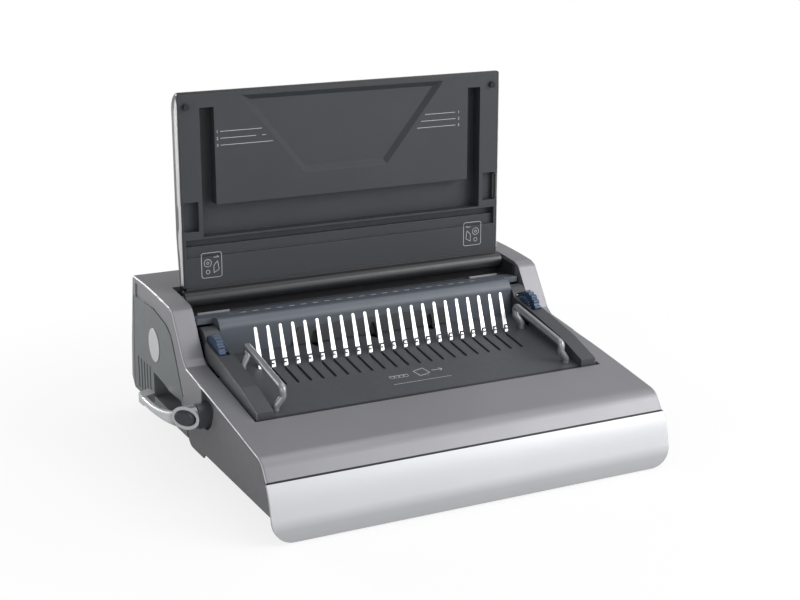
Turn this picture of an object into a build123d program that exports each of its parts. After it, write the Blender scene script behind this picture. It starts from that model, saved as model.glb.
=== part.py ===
from build123d import *
import math
import os

# Electric comb binding machine, cover open, as free-standing desk equipment.
# Millimetres. X is the width, +Y runs from the front to the back, +Z is up.
# The origin is on the table, under the middle of the body.

os.makedirs("parts", exist_ok=True)

# Comb standard and paper
pitch = 14.2875
hole_count = 21
tine_count = 22
paper_width = 297.0

# Case
body_width = 453.0
wall = 2.5
case_bottom = 26.0
front_low_y = -214.6
front_mid_y = -209.0
front_mid_z = 45.8
front_bulge_y = -213.8
front_bulge_z = 28.6
front_knee_z = 10.0
seam_y = -202.4
seam_z = 58.4
fold_y = -188.8
fold_z = 77.2
fold_r = 20.0
deck_crown_y = -84.0
deck_crown_z = 93.0
kink_y = 21.0
kink_z = 106.6
kink_r = 6.0
cheek_foot_y = 30.0
cheek_foot_z = 112.5
cheek_top_y = 61.0
cheek_top_z = 157.5
cheek_top_r = 8.0
shoulder_y = 70.0
shoulder_z = 161.0
crown_y = 131.0
crown_z = 165.4
top_z = 166.0
rear_top_y = 197.0
rear_top_r = 5.0
rear_mid_y = 212.0
rear_mid_z = 84.0
rear_y = 217.0
rear_low_z = 40.0
rear_foot_y = 205.0
rear_foot_r = 7.0
edge_round = 2.5
panel_gap = 0.5
shell_edge = 1.8
rear_cover_top = 146.0
rear_cut_y = 190.0
reach = 240.0
swoosh_depth = 1.4
step_rear_y = 24.0
step_low_z = 21.4
step_front_y = -28.0
step_corner_r = 14.0
step_chamfer = 4.0
step_top_z = 46.0
step_rim = 8.0
step_rim_height = 30.0
step_rim_depth = 1.2

# Openings and fittings of the side panels, in the side view
vent_y = 167.0
vent_z = 53.0
vent_pitch = 10.5
vent_count = 5
vent_length = 38.0
vent_width = 4.0
finger_recess = [
    (133.0, 40.0),
    (133.0, 69.0),
    (96.0, 66.0),
    (78.0, 62.5),
    (40.0, 64.5),
    (36.0, 52.0),
    (44.0, 40.0),
]
pan_wall = 2.0
pan_depth = 20.0
inlay_height = 0.4
oval_y = 126.0
oval_z = 102.4
oval_half_y = 18.0
oval_half_z = 19.0
barrel_boss_r = 13.4
lever_pocket_depth = 5.5
button_y = -34.0
button_z = 72.5
button_r = 11.0
button_wall = 6.0
button_stem_r = 4.0
button_proud = 2.5
button_stem_length = 16.0
button_sleeve_r = 9.0
button_sleeve_length = 4.0
button_sleeve_x = 212.0

# Rear wall fittings
rear_vent_x = 20.0
rear_vent_z = 90.0
rear_vent_pitch = 12.0
rear_vent_count = 9
rear_vent_length = 50.0
inlet_x = -150.0
inlet_z = 60.0
inlet_width = 30.0
inlet_height = 22.0
inlet_depth = 24.0
inlet_face_y = 216.0
inlet_rim = 2.5
inlet_floor = 6.0
prong_width = 2.0
prong_height = 4.0
prong_points = [(-7.0, -2.0), (0.0, 3.0), (7.0, -2.0)]
fitting_gap = 0.2
rocker_x = -110.0
rocker_width = 22.0
rocker_height = 26.0
rocker_pivot_y = 208.0
rocker_frame_depth = 14.0
rocker_frame_wall = 1.5
rocker_gap = 0.3
rocker_half_waist = 4.0
rocker_rise = 5.0
rocker_dip = 4.0

# Opening in the top of the shell, wide enough for the cover's barrel
barrel_width = 397.0
barrel_side_room = 4.0
opening_width = barrel_width + 2 * barrel_side_room
opening_front_y = -116.7
opening_rear_y = 128.0
lip_depth = 14.0
lip_wall = 2.0

# Comb deck
deck_slope = 0.145
deck_z0 = 103.1
deck_wall = 2.5
deck_gap = 1.6
deck_rear_y = 38.6
tine_hole_margin = 0.6
tine_hole_depth = 6.0
deck_cut_low_z = 60.0
deck_cut_high_z = 140.0

# Guide rails on the deck: half width, depth of each foot, height of each bend
rail_r = 3.9
rail_bend_r = 4.2
rail_foot_depth = 4.0
rail_x = 164.5
rail_front_foot = (172.0, -94.6)
rail_rear_foot = (171.0, -1.4)
rail_front_z = 112.0
rail_rear_z = 129.3

# Tines and hooks
tine_base_width = 5.6
tine_tip_width = 3.2
tine_wall = 1.5
tine_tip_y = 13.0
tine_tip_z = 143.8
tine_lean = 19.8
tine_foot_y = -2.0
hook_offset = 2.6
hook_wall = 1.5
hook_height = 9.5
hook_barb = 5.0
hook_barb_height = 1.6
hook_step = 4.0
hook_step_height = 1.4
hook_step_drop = 4.8
slot_width = 3.6
slot_front_y = -46.6
slot_rear_y = -4.8

# Comb opening lever
lever_y = -34.0
lever_z = 72.5
lever_shaft_r = 5.0
lever_hub_r = 12.5
hub_sleeve_r = 9.0
dome_half_width = 12.6
dome_half_height = 8.4
dome_height = 2.6
lever_plane_x = 247.0
lever_end_y = 112.0
lever_end_z = 48.8
grip_top_z = 54.0
grip_height = 10.5

# Hook carriage
hook_y = -5.6
carriage_half = 166.5
carriage_front_y = -58.0
carriage_rear_y = -5.2
rack_x = 154.0

# Gears
gear_module = 1.0
pressure_angle = 20.0
tooth_share = 0.9
comb_pinion_teeth = 34
rack_width = 8.0

# Punch
slot_y = 87.0
paper_gap = 3.6
punch_z = 124.0
punch_hole_width = 8.0
punch_hole_height = 3.0
punch_clearance = 0.06
punch_stroke = 8.0
die_bottom = 108.0
die_top = 134.0
paper_stop_z = 116.0
front_die_wall = 6.0
rear_die_wall = 8.2
die_half = 172.8
bar_y = 110.5
bar_wall = 9.0

# Cam drive
cam_y = 141.0
cam_r = 8.4
cam_width = 8.0
cam_x = 150.0
camshaft_r = 5.0
roller_r = 3.0
roller_gap = 0.4
yoke_wall = 4.0
cam_gear_teeth = 54
idler_pinion_teeth = 15
idler_gear_teeth = 48
motor_pinion_teeth = 15
idler_angle = -60.0
motor_angle = -100.0
gear_width = 7.0
gear_x0 = 184.0
idler_pin_r = 3.0
motor_shaft_r = 2.5
motor_r = 22.0
motor_length = 78.0
bar_half = 168.0

# Steel frames and base
frame_front_y = 74.0
frame_x = 173.0
frame_wall = 3.0
base_wall = 3.0
floor_z = 4.0
floor_wall = 2.5
base_wall_top = 45.0
foot_r = 11.0
base_x = 179.0
base_front_y = -196.0
base_rear_y = 200.0
ear_half = 14.0
bush_r = 8.0
foot_x = 155.0
foot_y = 172.0
foot_round = 1.0
screw_hole_r = 2.2
screw_head_r = 4.0
screw_head_low_z = 0.8
screw_seat_z = 2.0
board_z = 20.0
board_wall = 1.6
board_x0 = -80.0
board_x1 = 60.0
board_y0 = 112.0
board_y1 = 190.0
board_parts = [(-55, 140, 26, 20, 14), (0, 170, 18, 12, 20), (40, 135, 20, 26, 10)]
pillar_r = 3.5
pillar_inset = 5.0
runner_wall = 4.0
runner_rise = 8.0
runner_gap = 0.6

# Waste drawer
drawer_width = 330.0
drawer_wall = 2.0
drawer_floor_z = 9.2
drawer_top_z = 48.0
drawer_rear_y = 96.0
front_skin = 3.0
front_bottom_z = 1.5
front_corner_r = 22.0
tray_setback = 21.0
tray_rib_in = 30.0
tray_rib_out = 22.0

# Cover
hinge_y = 102.0
hinge_z = 157.0
barrel_r = 9.6
hinge_pin_r = 4.0
running_clearance = 0.05
cover_width = 393.0
cover_top_z = 383.5
lining_y = 104.0
cover_depth = 22.0
cover_crown_drop = 24.0
cover_wall = 2.5
lining_wall = 2.5
lining_low_z = 170.0
cover_round = 3.0
pocket_wall = 1.5
rail_pocket_depth = 15.5
wheel_pocket_depth = 9.0
tine_pocket_depth = 15.5
groove_depth = 10.0
relief_depth = 4.6
wheel_notch_depth = 4.2
wheel_notch_low_z = 232.0
wheel_notch_high_z = 262.0
bumper_height = 3.8
bumper_r = 3.5
bumper_x = 187.0
bumper_z = 368.0
bay_rim_height = 6.5
bay_depth = 4.8
bay_taper = 50.0
cover_trim_wall = 0.8

# Edge guide wheels
wheel_y = 19.0
wheel_z = 117.0
wheel_r = 22.0
wheel_width = 7.0
wheel_ribs = 18
wheel_rib_r = 2.2
wheel_axle_r = 3.0
wheel_hub_r = 6.0
wheel_gap = 0.6
wheel_x = 189.0
guide_gear_teeth = 30
guide_gear_angle = 10.0
screw_r = 5.0
block_inner_x = 181.0
block_outer_x = 198.4
trim_wall = 1.2
block_front_y = -112.0
trim_seam_y = -19.0
side_gear_width = 4.0
gear_hump_r = 17.2
guide_arm_z = 138.4
guide_top_z = 144.3
guide_arm_height = 3.4
guide_nut_in = 153.0
guide_nut_out = 165.0
guide_nut_half = 6.0
guide_nut_drop = 8.0
guide_blade_out = 188.0
guide_blade_wall = 1.8

# Housing over the die and the liner behind it
housing_half = 180.0
housing_wall = 2.2
ridge_y = 45.5
ridge_z = 148.0
ridge_r = 7.0
housing_front_z = 140.0
housing_front_r = 9.0
slot_lip = 6.0
slot_top_z = 143.2
wing_x = 199.4
wing_front_y = 58.0
wing_low_z = 139.9
wing_rear_low_z = 118.0
panel_top_z = 129.0
panel_wall = 2.0
panel_foot_half = 98.0
panel_top_half = 90.0
panel_corner_r = 6.0
scoop_count = 3
scoop_pitch = 71.0
scoop_half_width = 4.6
scoop_height = 14.0
scoop_deck_depth = 11.0
liner_wall = 2.0
liner_front_y = 69.0
liner_low_z = 96.0

half = body_width / 2
die_front_y = slot_y - paper_gap / 2 - front_die_wall
die_rear_y = slot_y + paper_gap / 2
comb_pinion_r = gear_module * comb_pinion_teeth / 2
slope_angle = math.degrees(math.atan(deck_slope))


def save(shape, name):
    """Labels a finished piece and writes it under its own name."""
    shape.part.label = name
    export_step(shape.part, f"parts/{name}.step")


def deck_z(y):
    """Height of the deck's upper face at depth y."""
    return deck_z0 + deck_slope * y


def corner(sketch, y, z):
    """The sketch's vertex nearest to a point of the side view."""
    return sketch.vertices().sort_by(lambda v: (v.X - y) ** 2 + (v.Y - z) ** 2)[0]


def case_face(inset=0.0):
    """Side view of the case, from the seam above the drawer round to the bottom."""
    with BuildSketch(Plane.YZ) as face:
        with BuildLine():
            Polyline(
                (front_low_y, case_bottom),
                (front_mid_y, front_mid_z),
                (seam_y, seam_z),
                (fold_y, fold_z),
            )
            ThreePointArc((fold_y, fold_z), (deck_crown_y, deck_crown_z), (kink_y, kink_z))
            Polyline(
                (kink_y, kink_z),
                (cheek_foot_y, cheek_foot_z),
                (cheek_top_y, cheek_top_z),
                (shoulder_y, shoulder_z),
            )
            ThreePointArc((shoulder_y, shoulder_z), (crown_y, crown_z), (rear_top_y, top_z))
            Polyline(
                (rear_top_y, top_z),
                (rear_mid_y, rear_mid_z),
                (rear_y, rear_low_z),
                (rear_foot_y, case_bottom),
                (front_low_y, case_bottom),
            )
        make_face()
        fillet(corner(face, fold_y, fold_z), fold_r)
        fillet(corner(face, kink_y, kink_z), kink_r)
        fillet(corner(face, cheek_foot_y, cheek_foot_z), kink_r)
        fillet(corner(face, cheek_top_y, cheek_top_z), cheek_top_r)
        fillet(corner(face, rear_top_y, top_z), rear_top_r)
        fillet(corner(face, rear_y, rear_low_z), rear_foot_r)
        fillet(corner(face, rear_foot_y, case_bottom), rear_foot_r)
        if inset:
            offset(amount=-inset, kind=Kind.INTERSECTION)
    return face.sketch


def gear_points(teeth, tooth_at):
    """Outline of an involute gear with one tooth centred on the angle tooth_at, in degrees."""
    pitch_r = gear_module * teeth / 2
    tip_r = pitch_r + 0.95 * gear_module
    root_r = pitch_r - 1.2 * gear_module
    base_r = pitch_r * math.cos(math.radians(pressure_angle))
    start_r = max(base_r, root_r + 0.05)
    pressure = math.radians(pressure_angle)
    half_at_pitch = tooth_share * math.pi / (2 * teeth) + math.tan(pressure) - pressure

    def half_angle(r):
        turn = math.acos(min(1.0, base_r / r))
        return half_at_pitch - (math.tan(turn) - turn)

    steps = [start_r + (tip_r - start_r) * k / 3 for k in range(4)]
    flank = [(root_r, half_angle(start_r))] + [(r, half_angle(r)) for r in steps]
    points = []
    for tooth in range(teeth):
        middle = math.radians(tooth_at) + 2 * math.pi * tooth / teeth
        rising = [(r, middle - a) for r, a in flank]
        falling = [(r, middle + a) for r, a in reversed(flank)]
        points += [(r * math.cos(a), r * math.sin(a)) for r, a in rising + falling]
    return points


def gear(x, width, centre, teeth, tooth_at, bore):
    """Adds a spur gear to the open part, with its axis along X, from x to x + width."""
    points = [(centre[0] + y, centre[1] + z) for y, z in gear_points(teeth, tooth_at)]
    with BuildSketch(Plane.YZ.offset(x)) as profile:
        with BuildLine():
            Polyline(*points, close=True)
        make_face()
        if bore:
            with Locations(centre):
                Circle(bore, mode=Mode.SUBTRACT)
    extrude(profile.sketch, amount=width)


def disc(x0, x1, centre, radius, mode=Mode.ADD):
    """Adds or cuts a round bar along X between x0 and x1."""
    with BuildSketch(Plane.YZ.offset(x0)) as profile:
        with Locations(centre):
            Circle(radius)
    extrude(profile.sketch, amount=x1 - x0, mode=mode)


def block(x0, x1, y0, y1, z0, z1, mode=Mode.ADD):
    """Adds or cuts a plain box given by its two corners."""
    with BuildSketch(Plane.XY.offset(z0)) as profile:
        with Locations(((x0 + x1) / 2, (y0 + y1) / 2)):
            Rectangle(abs(x1 - x0), abs(y1 - y0))
    extrude(profile.sketch, amount=z1 - z0, mode=mode)


def prism(x0, x1, points, mode=Mode.ADD):
    """Adds or cuts a prism along X between x0 and x1, from points in the YZ plane."""
    with BuildSketch(Plane.YZ.offset(x0)) as profile:
        with BuildLine():
            Polyline(*points, close=True)
        make_face()
    extrude(profile.sketch, amount=x1 - x0, mode=mode)


def polar(centre, angle, distance):
    """Point at an angle in degrees from +Y towards +Z, in the YZ plane."""
    turn = math.radians(angle)
    return (centre[0] + distance * math.cos(turn), centre[1] + distance * math.sin(turn))


def front_curve(depth):
    """Points of the front's outer curve, drawn back by depth, from the bottom to the seam."""
    return [
        (-rear_y + depth, front_bottom_z),
        (-rear_y + depth, front_knee_z),
        (front_bulge_y + depth, front_bulge_z),
        (front_mid_y + depth, front_mid_z),
        (seam_y + depth, seam_z),
    ]


# Outlines of the side panels in the YZ plane
front_panel_limit = [
    (-reach, 0),
    (-reach, reach),
    (-26.0, reach),
    (-26.0, 84.0),
    (-16.0, 66.0),
    (step_rear_y, 52.0),
    (step_rear_y, 0),
]
lever_pocket = [
    (-28.0, 110.0),
    (-66.0, 110.0),
    (-66.0, 93.0),
    (-62.0, 82.0),
    (-55.0, 68.0),
    (-46.0, 60.0),
    (-36.0, 57.6),
    (-25.0, 59.0),
    (-20.6, 66.0),
    (-20.6, 72.0),
    (-28.0, 84.0),
]
rear_panel_limit = [
    (207.0, 30.0),
    (196.0, 143.0),
    (127.0, 144.5),
    (84.0, 137.5),
    (68.0, 129.5),
    (54.0, 106.0),
    (33.0, 68.0),
    (27.0, 52.0),
    (27.0, 30.0),
]
swoosh_points = [
    (186.0, 160.0),
    (140.0, 156.0),
    (100.0, 149.0),
    (72.0, 139.0),
    (58.0, 124.0),
    (40.0, 90.0),
    (31.0, 72.0),
    (33.0, 68.0),
    (54.0, 106.0),
    (68.0, 129.5),
    (84.0, 137.5),
    (127.0, 144.5),
    (188.0, 143.2),
]


def wall_slab(side, room=0.0):
    """Thickness of the case's side wall on one side, with room to spare for a cut."""
    x0, x1 = sorted((side * (half - wall - room / 10), side * (half + room)))
    block(x0, x1, -reach, reach, 0, reach, mode=Mode.INTERSECT)


def front_panel_room(side, gap):
    """Room in the side wall for the front panel, larger than it by gap."""
    with BuildPart() as room:
        extrude(case_face(shell_edge + panel_gap - gap), amount=half + 1, both=True)
        prism(-half - 1, half + 1, front_panel_limit, mode=Mode.INTERSECT)
        wall_slab(side, gap)
    return room.part


# Hollow case, from which the shell, the side panels and the rear cover are taken
with BuildPart() as case_blank:
    extrude(case_face(), amount=half, both=True)
    side_edges = case_blank.edges().filter_by(
        lambda e: abs(abs(e.center().X) - half) < 0.01 and seam_z < e.center().Z
    )
    fillet(side_edges.filter_by(lambda e: e.center().Y < rear_top_y), edge_round)
    extrude(case_face(wall), amount=half - wall, both=True, mode=Mode.SUBTRACT)

# Lip that hangs down round the opening and follows the shell
opening_middle_y = (opening_front_y + opening_rear_y) / 2
opening_depth = opening_rear_y - opening_front_y
with BuildPart() as opening_lip:
    with BuildSketch(Plane.XY.offset(seam_z)):
        with Locations((0, opening_middle_y)):
            Rectangle(opening_width + 2 * lip_wall, opening_depth + 2 * lip_wall)
            Rectangle(opening_width, opening_depth, mode=Mode.SUBTRACT)
    extrude(amount=top_z)
    extrude(case_face(wall / 2), amount=half, both=True, mode=Mode.INTERSECT)
    extrude(case_face(lip_depth), amount=half, both=True, mode=Mode.SUBTRACT)

# Upper shell: silver top, cheeks and side bands in one moulding
panel_rooms = [front_panel_room(side, panel_gap) for side in (-1, 1)]
with BuildPart() as upper_shell:
    add(case_blank.part)
    with BuildSketch(Plane.XY.offset(seam_z)):
        with Locations((0, opening_middle_y)):
            Rectangle(opening_width, opening_depth)
    extrude(amount=top_z, mode=Mode.SUBTRACT)
    add(opening_lip.part)
    for side, room in zip((-1, 1), panel_rooms):
        add(room, mode=Mode.SUBTRACT)
        x0, x1 = sorted((side * (half - wall - 0.1), side * (half + 1)))
        prism(x0, x1, rear_panel_limit, mode=Mode.SUBTRACT)
    block(
        -half - 1,
        half + 1,
        -reach,
        reach,
        0,
        case_bottom + wall + panel_gap,
        mode=Mode.SUBTRACT,
    )
    block(-half - 1, half + 1, -reach, seam_y + 6, 0, seam_z + panel_gap, mode=Mode.SUBTRACT)
    block(-half + wall, half - wall, rear_cut_y, reach, 0, rear_cover_top, mode=Mode.SUBTRACT)
    for side in (-1, 1):
        with BuildSketch(Plane.YZ.offset(side * half)):
            with BuildLine():
                Polyline(*swoosh_points, close=True)
            make_face()
        extrude(amount=-side * swoosh_depth, mode=Mode.SUBTRACT)
        x0, x1 = sorted((side * opening_width / 2, side * (opening_width / 2 + lip_wall)))
        disc(x0, x1, (hinge_y, hinge_z), hinge_pin_r + 0.3, mode=Mode.SUBTRACT)
    disc(-half - 1, -half + wall + 1, (lever_y, lever_z), barrel_boss_r + 0.6, mode=Mode.SUBTRACT)
save(upper_shell, "upper_shell")

# Front side panels: the lower case walls in front of the lever, left and right.
# Each one steps down below the case at its rear end, with a sunken rim round the corner.
# The left one has a pocket round the lever's barrel.
pocket_floor = -half + lever_pocket_depth
with BuildPart() as case_hollow:
    extrude(case_face(wall), amount=half - wall, both=True)
with BuildPart() as pocket_pan:
    with BuildSketch(Plane.YZ.offset(-half + wall)):
        with BuildLine():
            Polyline(*lever_pocket, close=True)
        make_face()
        offset(amount=pan_wall)
    extrude(amount=lever_pocket_depth - wall + pan_wall)
    extrude(case_face(wall + 0.1), amount=half, both=True, mode=Mode.INTERSECT)

step_length = step_rear_y - step_front_y
step_middle_y = (step_front_y + step_rear_y) / 2
for side, name in ((-1, "left_front_panel"), (1, "right_front_panel")):
    inner, outer = sorted((side * (half - wall), side * half))
    with BuildPart() as front_panel:
        add(front_panel_room(side, 0.0))
        add(case_hollow.part, mode=Mode.SUBTRACT)
        with BuildSketch(Plane.YZ.offset(inner)) as step:
            with Locations((step_middle_y, (step_low_z + step_top_z) / 2)):
                Rectangle(step_length, step_top_z - step_low_z)
            fillet(corner(step, step_rear_y, step_low_z), step_corner_r)
            chamfer(corner(step, step_front_y, step_low_z), step_chamfer)
        block(
            inner,
            outer,
            step_rear_y - step_corner_r,
            step_rear_y,
            0,
            step_top_z,
            mode=Mode.SUBTRACT,
        )
        extrude(step.sketch, amount=outer - inner)
        with BuildSketch(Plane.YZ.offset(side * half)) as rim:
            with Locations((step_middle_y, step_low_z + step_rim_height / 2)):
                Rectangle(step_length, step_rim_height)
            fillet(corner(rim, step_rear_y, step_low_z), step_corner_r)
            with Locations(
                (step_middle_y - step_rim, step_low_z + step_rim_height / 2 + step_rim)
            ):
                Rectangle(step_length, step_rim_height, mode=Mode.SUBTRACT)
        extrude(rim.sketch, amount=-side * step_rim_depth, mode=Mode.SUBTRACT)
        prism(
            -half - 1,
            half + 1,
            [(-reach, 0)] + front_curve(front_skin + panel_gap) + [(-reach, seam_z)],
            mode=Mode.SUBTRACT,
        )
        if side < 0:
            add(pocket_pan.part)
            prism(-half - 1, pocket_floor, lever_pocket, mode=Mode.SUBTRACT)
            disc(
                -half - 1,
                pocket_floor + pan_wall + 1,
                (lever_y, lever_z),
                hub_sleeve_r + 0.5,
                mode=Mode.SUBTRACT,
            )
            disc(
                -half - 1,
                pocket_floor,
                (lever_y, lever_z),
                barrel_boss_r + 0.4,
                mode=Mode.SUBTRACT,
            )
        else:
            disc(
                half - wall - 1,
                half + 1,
                (button_y, button_z),
                button_r + 0.3,
                mode=Mode.SUBTRACT,
            )
    save(front_panel, name)

# Rear side panels: flush covers with vent slits, and a finger recess behind the lever
for side, name in ((-1, "left_rear_panel"), (1, "right_rear_panel")):
    inner, outer = sorted((side * (half - wall), side * (half - inlay_height)))
    with BuildPart() as rear_panel:
        with BuildSketch(Plane.YZ.offset(inner)):
            with BuildLine():
                Polyline(*rear_panel_limit, close=True)
            make_face()
            offset(amount=-panel_gap / 2)
        extrude(amount=outer - inner)
        with BuildSketch(Plane.YZ.offset(inner)):
            with Locations((vent_y, vent_z)):
                with GridLocations(vent_pitch, 0, vent_count, 1):
                    SlotOverall(vent_length, vent_width, rotation=90)
        extrude(amount=outer - inner, mode=Mode.SUBTRACT)
        if side < 0:
            prism(inner, outer, finger_recess, mode=Mode.SUBTRACT)
    save(rear_panel, name)

# Finger recess pan: dark pocket behind the lever's grip
with BuildPart() as finger_pan:
    with BuildSketch(Plane.YZ.offset(-half + wall)):
        with BuildLine():
            Polyline(*finger_recess, close=True)
        make_face()
        offset(amount=pan_wall)
    extrude(amount=pan_depth)
    with BuildSketch(Plane.YZ.offset(-half + wall)):
        with BuildLine():
            Polyline(*finger_recess, close=True)
        make_face()
    extrude(amount=pan_depth - pan_wall, mode=Mode.SUBTRACT)
save(finger_pan, "finger_pan")

# Oval inlays on the rear side panels
with BuildPart() as oval_inlays:
    for side in (-1, 1):
        x0, x1 = sorted((side * (half - inlay_height), side * (half + inlay_height)))
        with BuildSketch(Plane.YZ.offset(x0)):
            with Locations((oval_y, oval_z)):
                Ellipse(oval_half_y, oval_half_z)
        extrude(amount=x1 - x0)
save(oval_inlays, "oval_inlays")

# Rear cover: back wall with vent slots and the cut-outs for inlet and switch
with BuildPart() as rear_cover:
    extrude(case_face(), amount=half - wall - panel_gap, both=True)
    extrude(case_face(wall), amount=half, both=True, mode=Mode.SUBTRACT)
    block(
        -half,
        half,
        rear_cut_y,
        reach,
        case_bottom + wall + panel_gap,
        rear_cover_top - panel_gap,
        mode=Mode.INTERSECT,
    )
    with BuildSketch(Plane.XZ.offset(-rear_cut_y)):
        with Locations((rear_vent_x, rear_vent_z)):
            with GridLocations(rear_vent_pitch, 0, rear_vent_count, 1):
                SlotOverall(rear_vent_length, vent_width, rotation=90)
        with Locations((inlet_x, inlet_z)):
            Rectangle(inlet_width, inlet_height)
        with Locations((rocker_x, inlet_z)):
            Rectangle(rocker_width, rocker_height)
    extrude(amount=rear_cut_y - reach, mode=Mode.SUBTRACT)
save(rear_cover, "rear_cover")

# Mains inlet: shrouded three-pin socket in the rear cover
with BuildPart() as mains_inlet:
    block(
        inlet_x - inlet_width / 2 + fitting_gap,
        inlet_x + inlet_width / 2 - fitting_gap,
        inlet_face_y - inlet_depth,
        inlet_face_y,
        inlet_z - inlet_height / 2 + fitting_gap,
        inlet_z + inlet_height / 2 - fitting_gap,
    )
    with BuildSketch(Plane.XZ.offset(-inlet_face_y)):
        with Locations((inlet_x, inlet_z)):
            Rectangle(inlet_width - 2 * inlet_rim, inlet_height - 2 * inlet_rim)
    extrude(amount=inlet_depth - inlet_floor, mode=Mode.SUBTRACT)
    with BuildSketch(Plane.XZ.offset(-(inlet_face_y - inlet_depth + inlet_floor))):
        with Locations((inlet_x, inlet_z)):
            with Locations(*prong_points):
                Rectangle(prong_width, prong_height)
    extrude(amount=-(inlet_depth - inlet_floor - 4.0))
save(mains_inlet, "mains_inlet")

# Power rocker and the frame that it tilts in
with BuildPart() as rocker_frame:
    block(
        rocker_x - rocker_width / 2 + fitting_gap,
        rocker_x + rocker_width / 2 - fitting_gap,
        inlet_face_y - rocker_frame_depth,
        inlet_face_y,
        inlet_z - rocker_height / 2 + fitting_gap,
        inlet_z + rocker_height / 2 - fitting_gap,
    )
    block(
        rocker_x - rocker_width / 2 + rocker_frame_wall,
        rocker_x + rocker_width / 2 - rocker_frame_wall,
        inlet_face_y - rocker_frame_depth + 2.0,
        inlet_face_y,
        inlet_z - rocker_height / 2 + rocker_frame_wall,
        inlet_z + rocker_height / 2 - rocker_frame_wall,
        mode=Mode.SUBTRACT,
    )
save(rocker_frame, "rocker_frame")

rocker_half_x = rocker_width / 2 - rocker_frame_wall - rocker_gap
rocker_half_z = rocker_height / 2 - 3.2
with BuildPart() as power_rocker:
    prism(
        rocker_x - rocker_half_x,
        rocker_x + rocker_half_x,
        [
            (rocker_pivot_y - 2.0, inlet_z - rocker_half_waist),
            (rocker_pivot_y - 2.0, inlet_z + rocker_half_waist),
            (rocker_pivot_y + rocker_rise, inlet_z + rocker_half_z),
            (rocker_pivot_y + rocker_dip, inlet_z),
            (rocker_pivot_y + rocker_rise, inlet_z - rocker_half_z),
        ],
    )
save(power_rocker, "power_rocker")

# Base tray: tub that the drawer runs in, with flanges out to the side panels,
# the drawer's runners, pillars for the control board and the sleeve of the punch button
with BuildPart() as base_tray:
    block(-base_x, base_x, base_front_y, base_rear_y, floor_z, floor_z + floor_wall)
    for side in (-1, 1):
        inner, outer = sorted((side * (base_x - base_wall), side * base_x))
        block(inner, outer, base_front_y, base_rear_y, floor_z, base_wall_top)
        block(inner, outer, lever_y - ear_half, lever_y + ear_half, floor_z, lever_z + ear_half)
        disc(inner, outer, (lever_y, lever_z), bush_r, mode=Mode.SUBTRACT)
        flange_in, flange_out = sorted((side * base_x, side * (half - wall - 0.3)))
        block(flange_in, flange_out, base_front_y, base_rear_y, case_bottom, case_bottom + wall)
    block(-base_x, base_x, base_rear_y - base_wall, base_rear_y, floor_z, base_wall_top)
    flange_half = half - wall - 0.3
    block(
        -flange_half,
        flange_half,
        base_rear_y - base_wall,
        base_rear_y,
        case_bottom,
        case_bottom + wall,
    )
    with BuildSketch(Plane.XY.offset(floor_z)):
        with GridLocations(2 * foot_x, 2 * foot_y, 2, 2):
            Circle(screw_hole_r)
    extrude(amount=floor_wall, mode=Mode.SUBTRACT)
    for side in (-1, 1):
        runner_x = drawer_width / 2 + runner_gap
        inner, outer = sorted((side * runner_x, side * (runner_x + runner_wall)))
        block(inner, outer, base_front_y + 4, drawer_rear_y, floor_z, drawer_floor_z + runner_rise)
    with BuildSketch(Plane.XY.offset(floor_z + 0.5)):
        with Locations(((board_x0 + board_x1) / 2, (board_y0 + board_y1) / 2)):
            pillar_span_x = board_x1 - board_x0 - 2 * pillar_inset
            pillar_span_y = board_y1 - board_y0 - 2 * pillar_inset
            with GridLocations(pillar_span_x, pillar_span_y, 2, 2):
                Circle(pillar_r)
    extrude(amount=board_z - floor_z - 0.5)
    sleeve_end = button_sleeve_x + button_sleeve_length
    disc(button_sleeve_x, sleeve_end, (button_y, button_z), button_sleeve_r)
    block(base_x - 1, sleeve_end, button_y - 6, button_y + 6, button_z - 14, button_z - 8.5)
    disc(
        button_sleeve_x - 1,
        sleeve_end + 1,
        (button_y, button_z),
        button_stem_r + running_clearance,
        mode=Mode.SUBTRACT,
    )
save(base_tray, "base_tray")

# Four rubber feet and the screws that hold them
with BuildPart() as rubber_feet:
    with BuildSketch(Plane.XY):
        with GridLocations(2 * foot_x, 2 * foot_y, 2, 2):
            Circle(foot_r)
    extrude(amount=floor_z)
    fillet(rubber_feet.edges().group_by(Axis.Z)[0], foot_round)
    with BuildSketch(Plane.XY):
        with GridLocations(2 * foot_x, 2 * foot_y, 2, 2):
            Circle(screw_head_r + 0.4)
    extrude(amount=screw_seat_z, mode=Mode.SUBTRACT)
    with BuildSketch(Plane.XY):
        with GridLocations(2 * foot_x, 2 * foot_y, 2, 2):
            Circle(screw_hole_r)
    extrude(amount=floor_z, mode=Mode.SUBTRACT)
save(rubber_feet, "rubber_feet")

with BuildPart() as foot_screws:
    with BuildSketch(Plane.XY.offset(screw_head_low_z)):
        with GridLocations(2 * foot_x, 2 * foot_y, 2, 2):
            Circle(screw_head_r)
    extrude(amount=screw_seat_z - screw_head_low_z)
    with BuildSketch(Plane.XY.offset(screw_seat_z)):
        with GridLocations(2 * foot_x, 2 * foot_y, 2, 2):
            Circle(screw_hole_r - 0.1)
    extrude(amount=floor_z + floor_wall - screw_seat_z)
save(foot_screws, "foot_screws")

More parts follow.
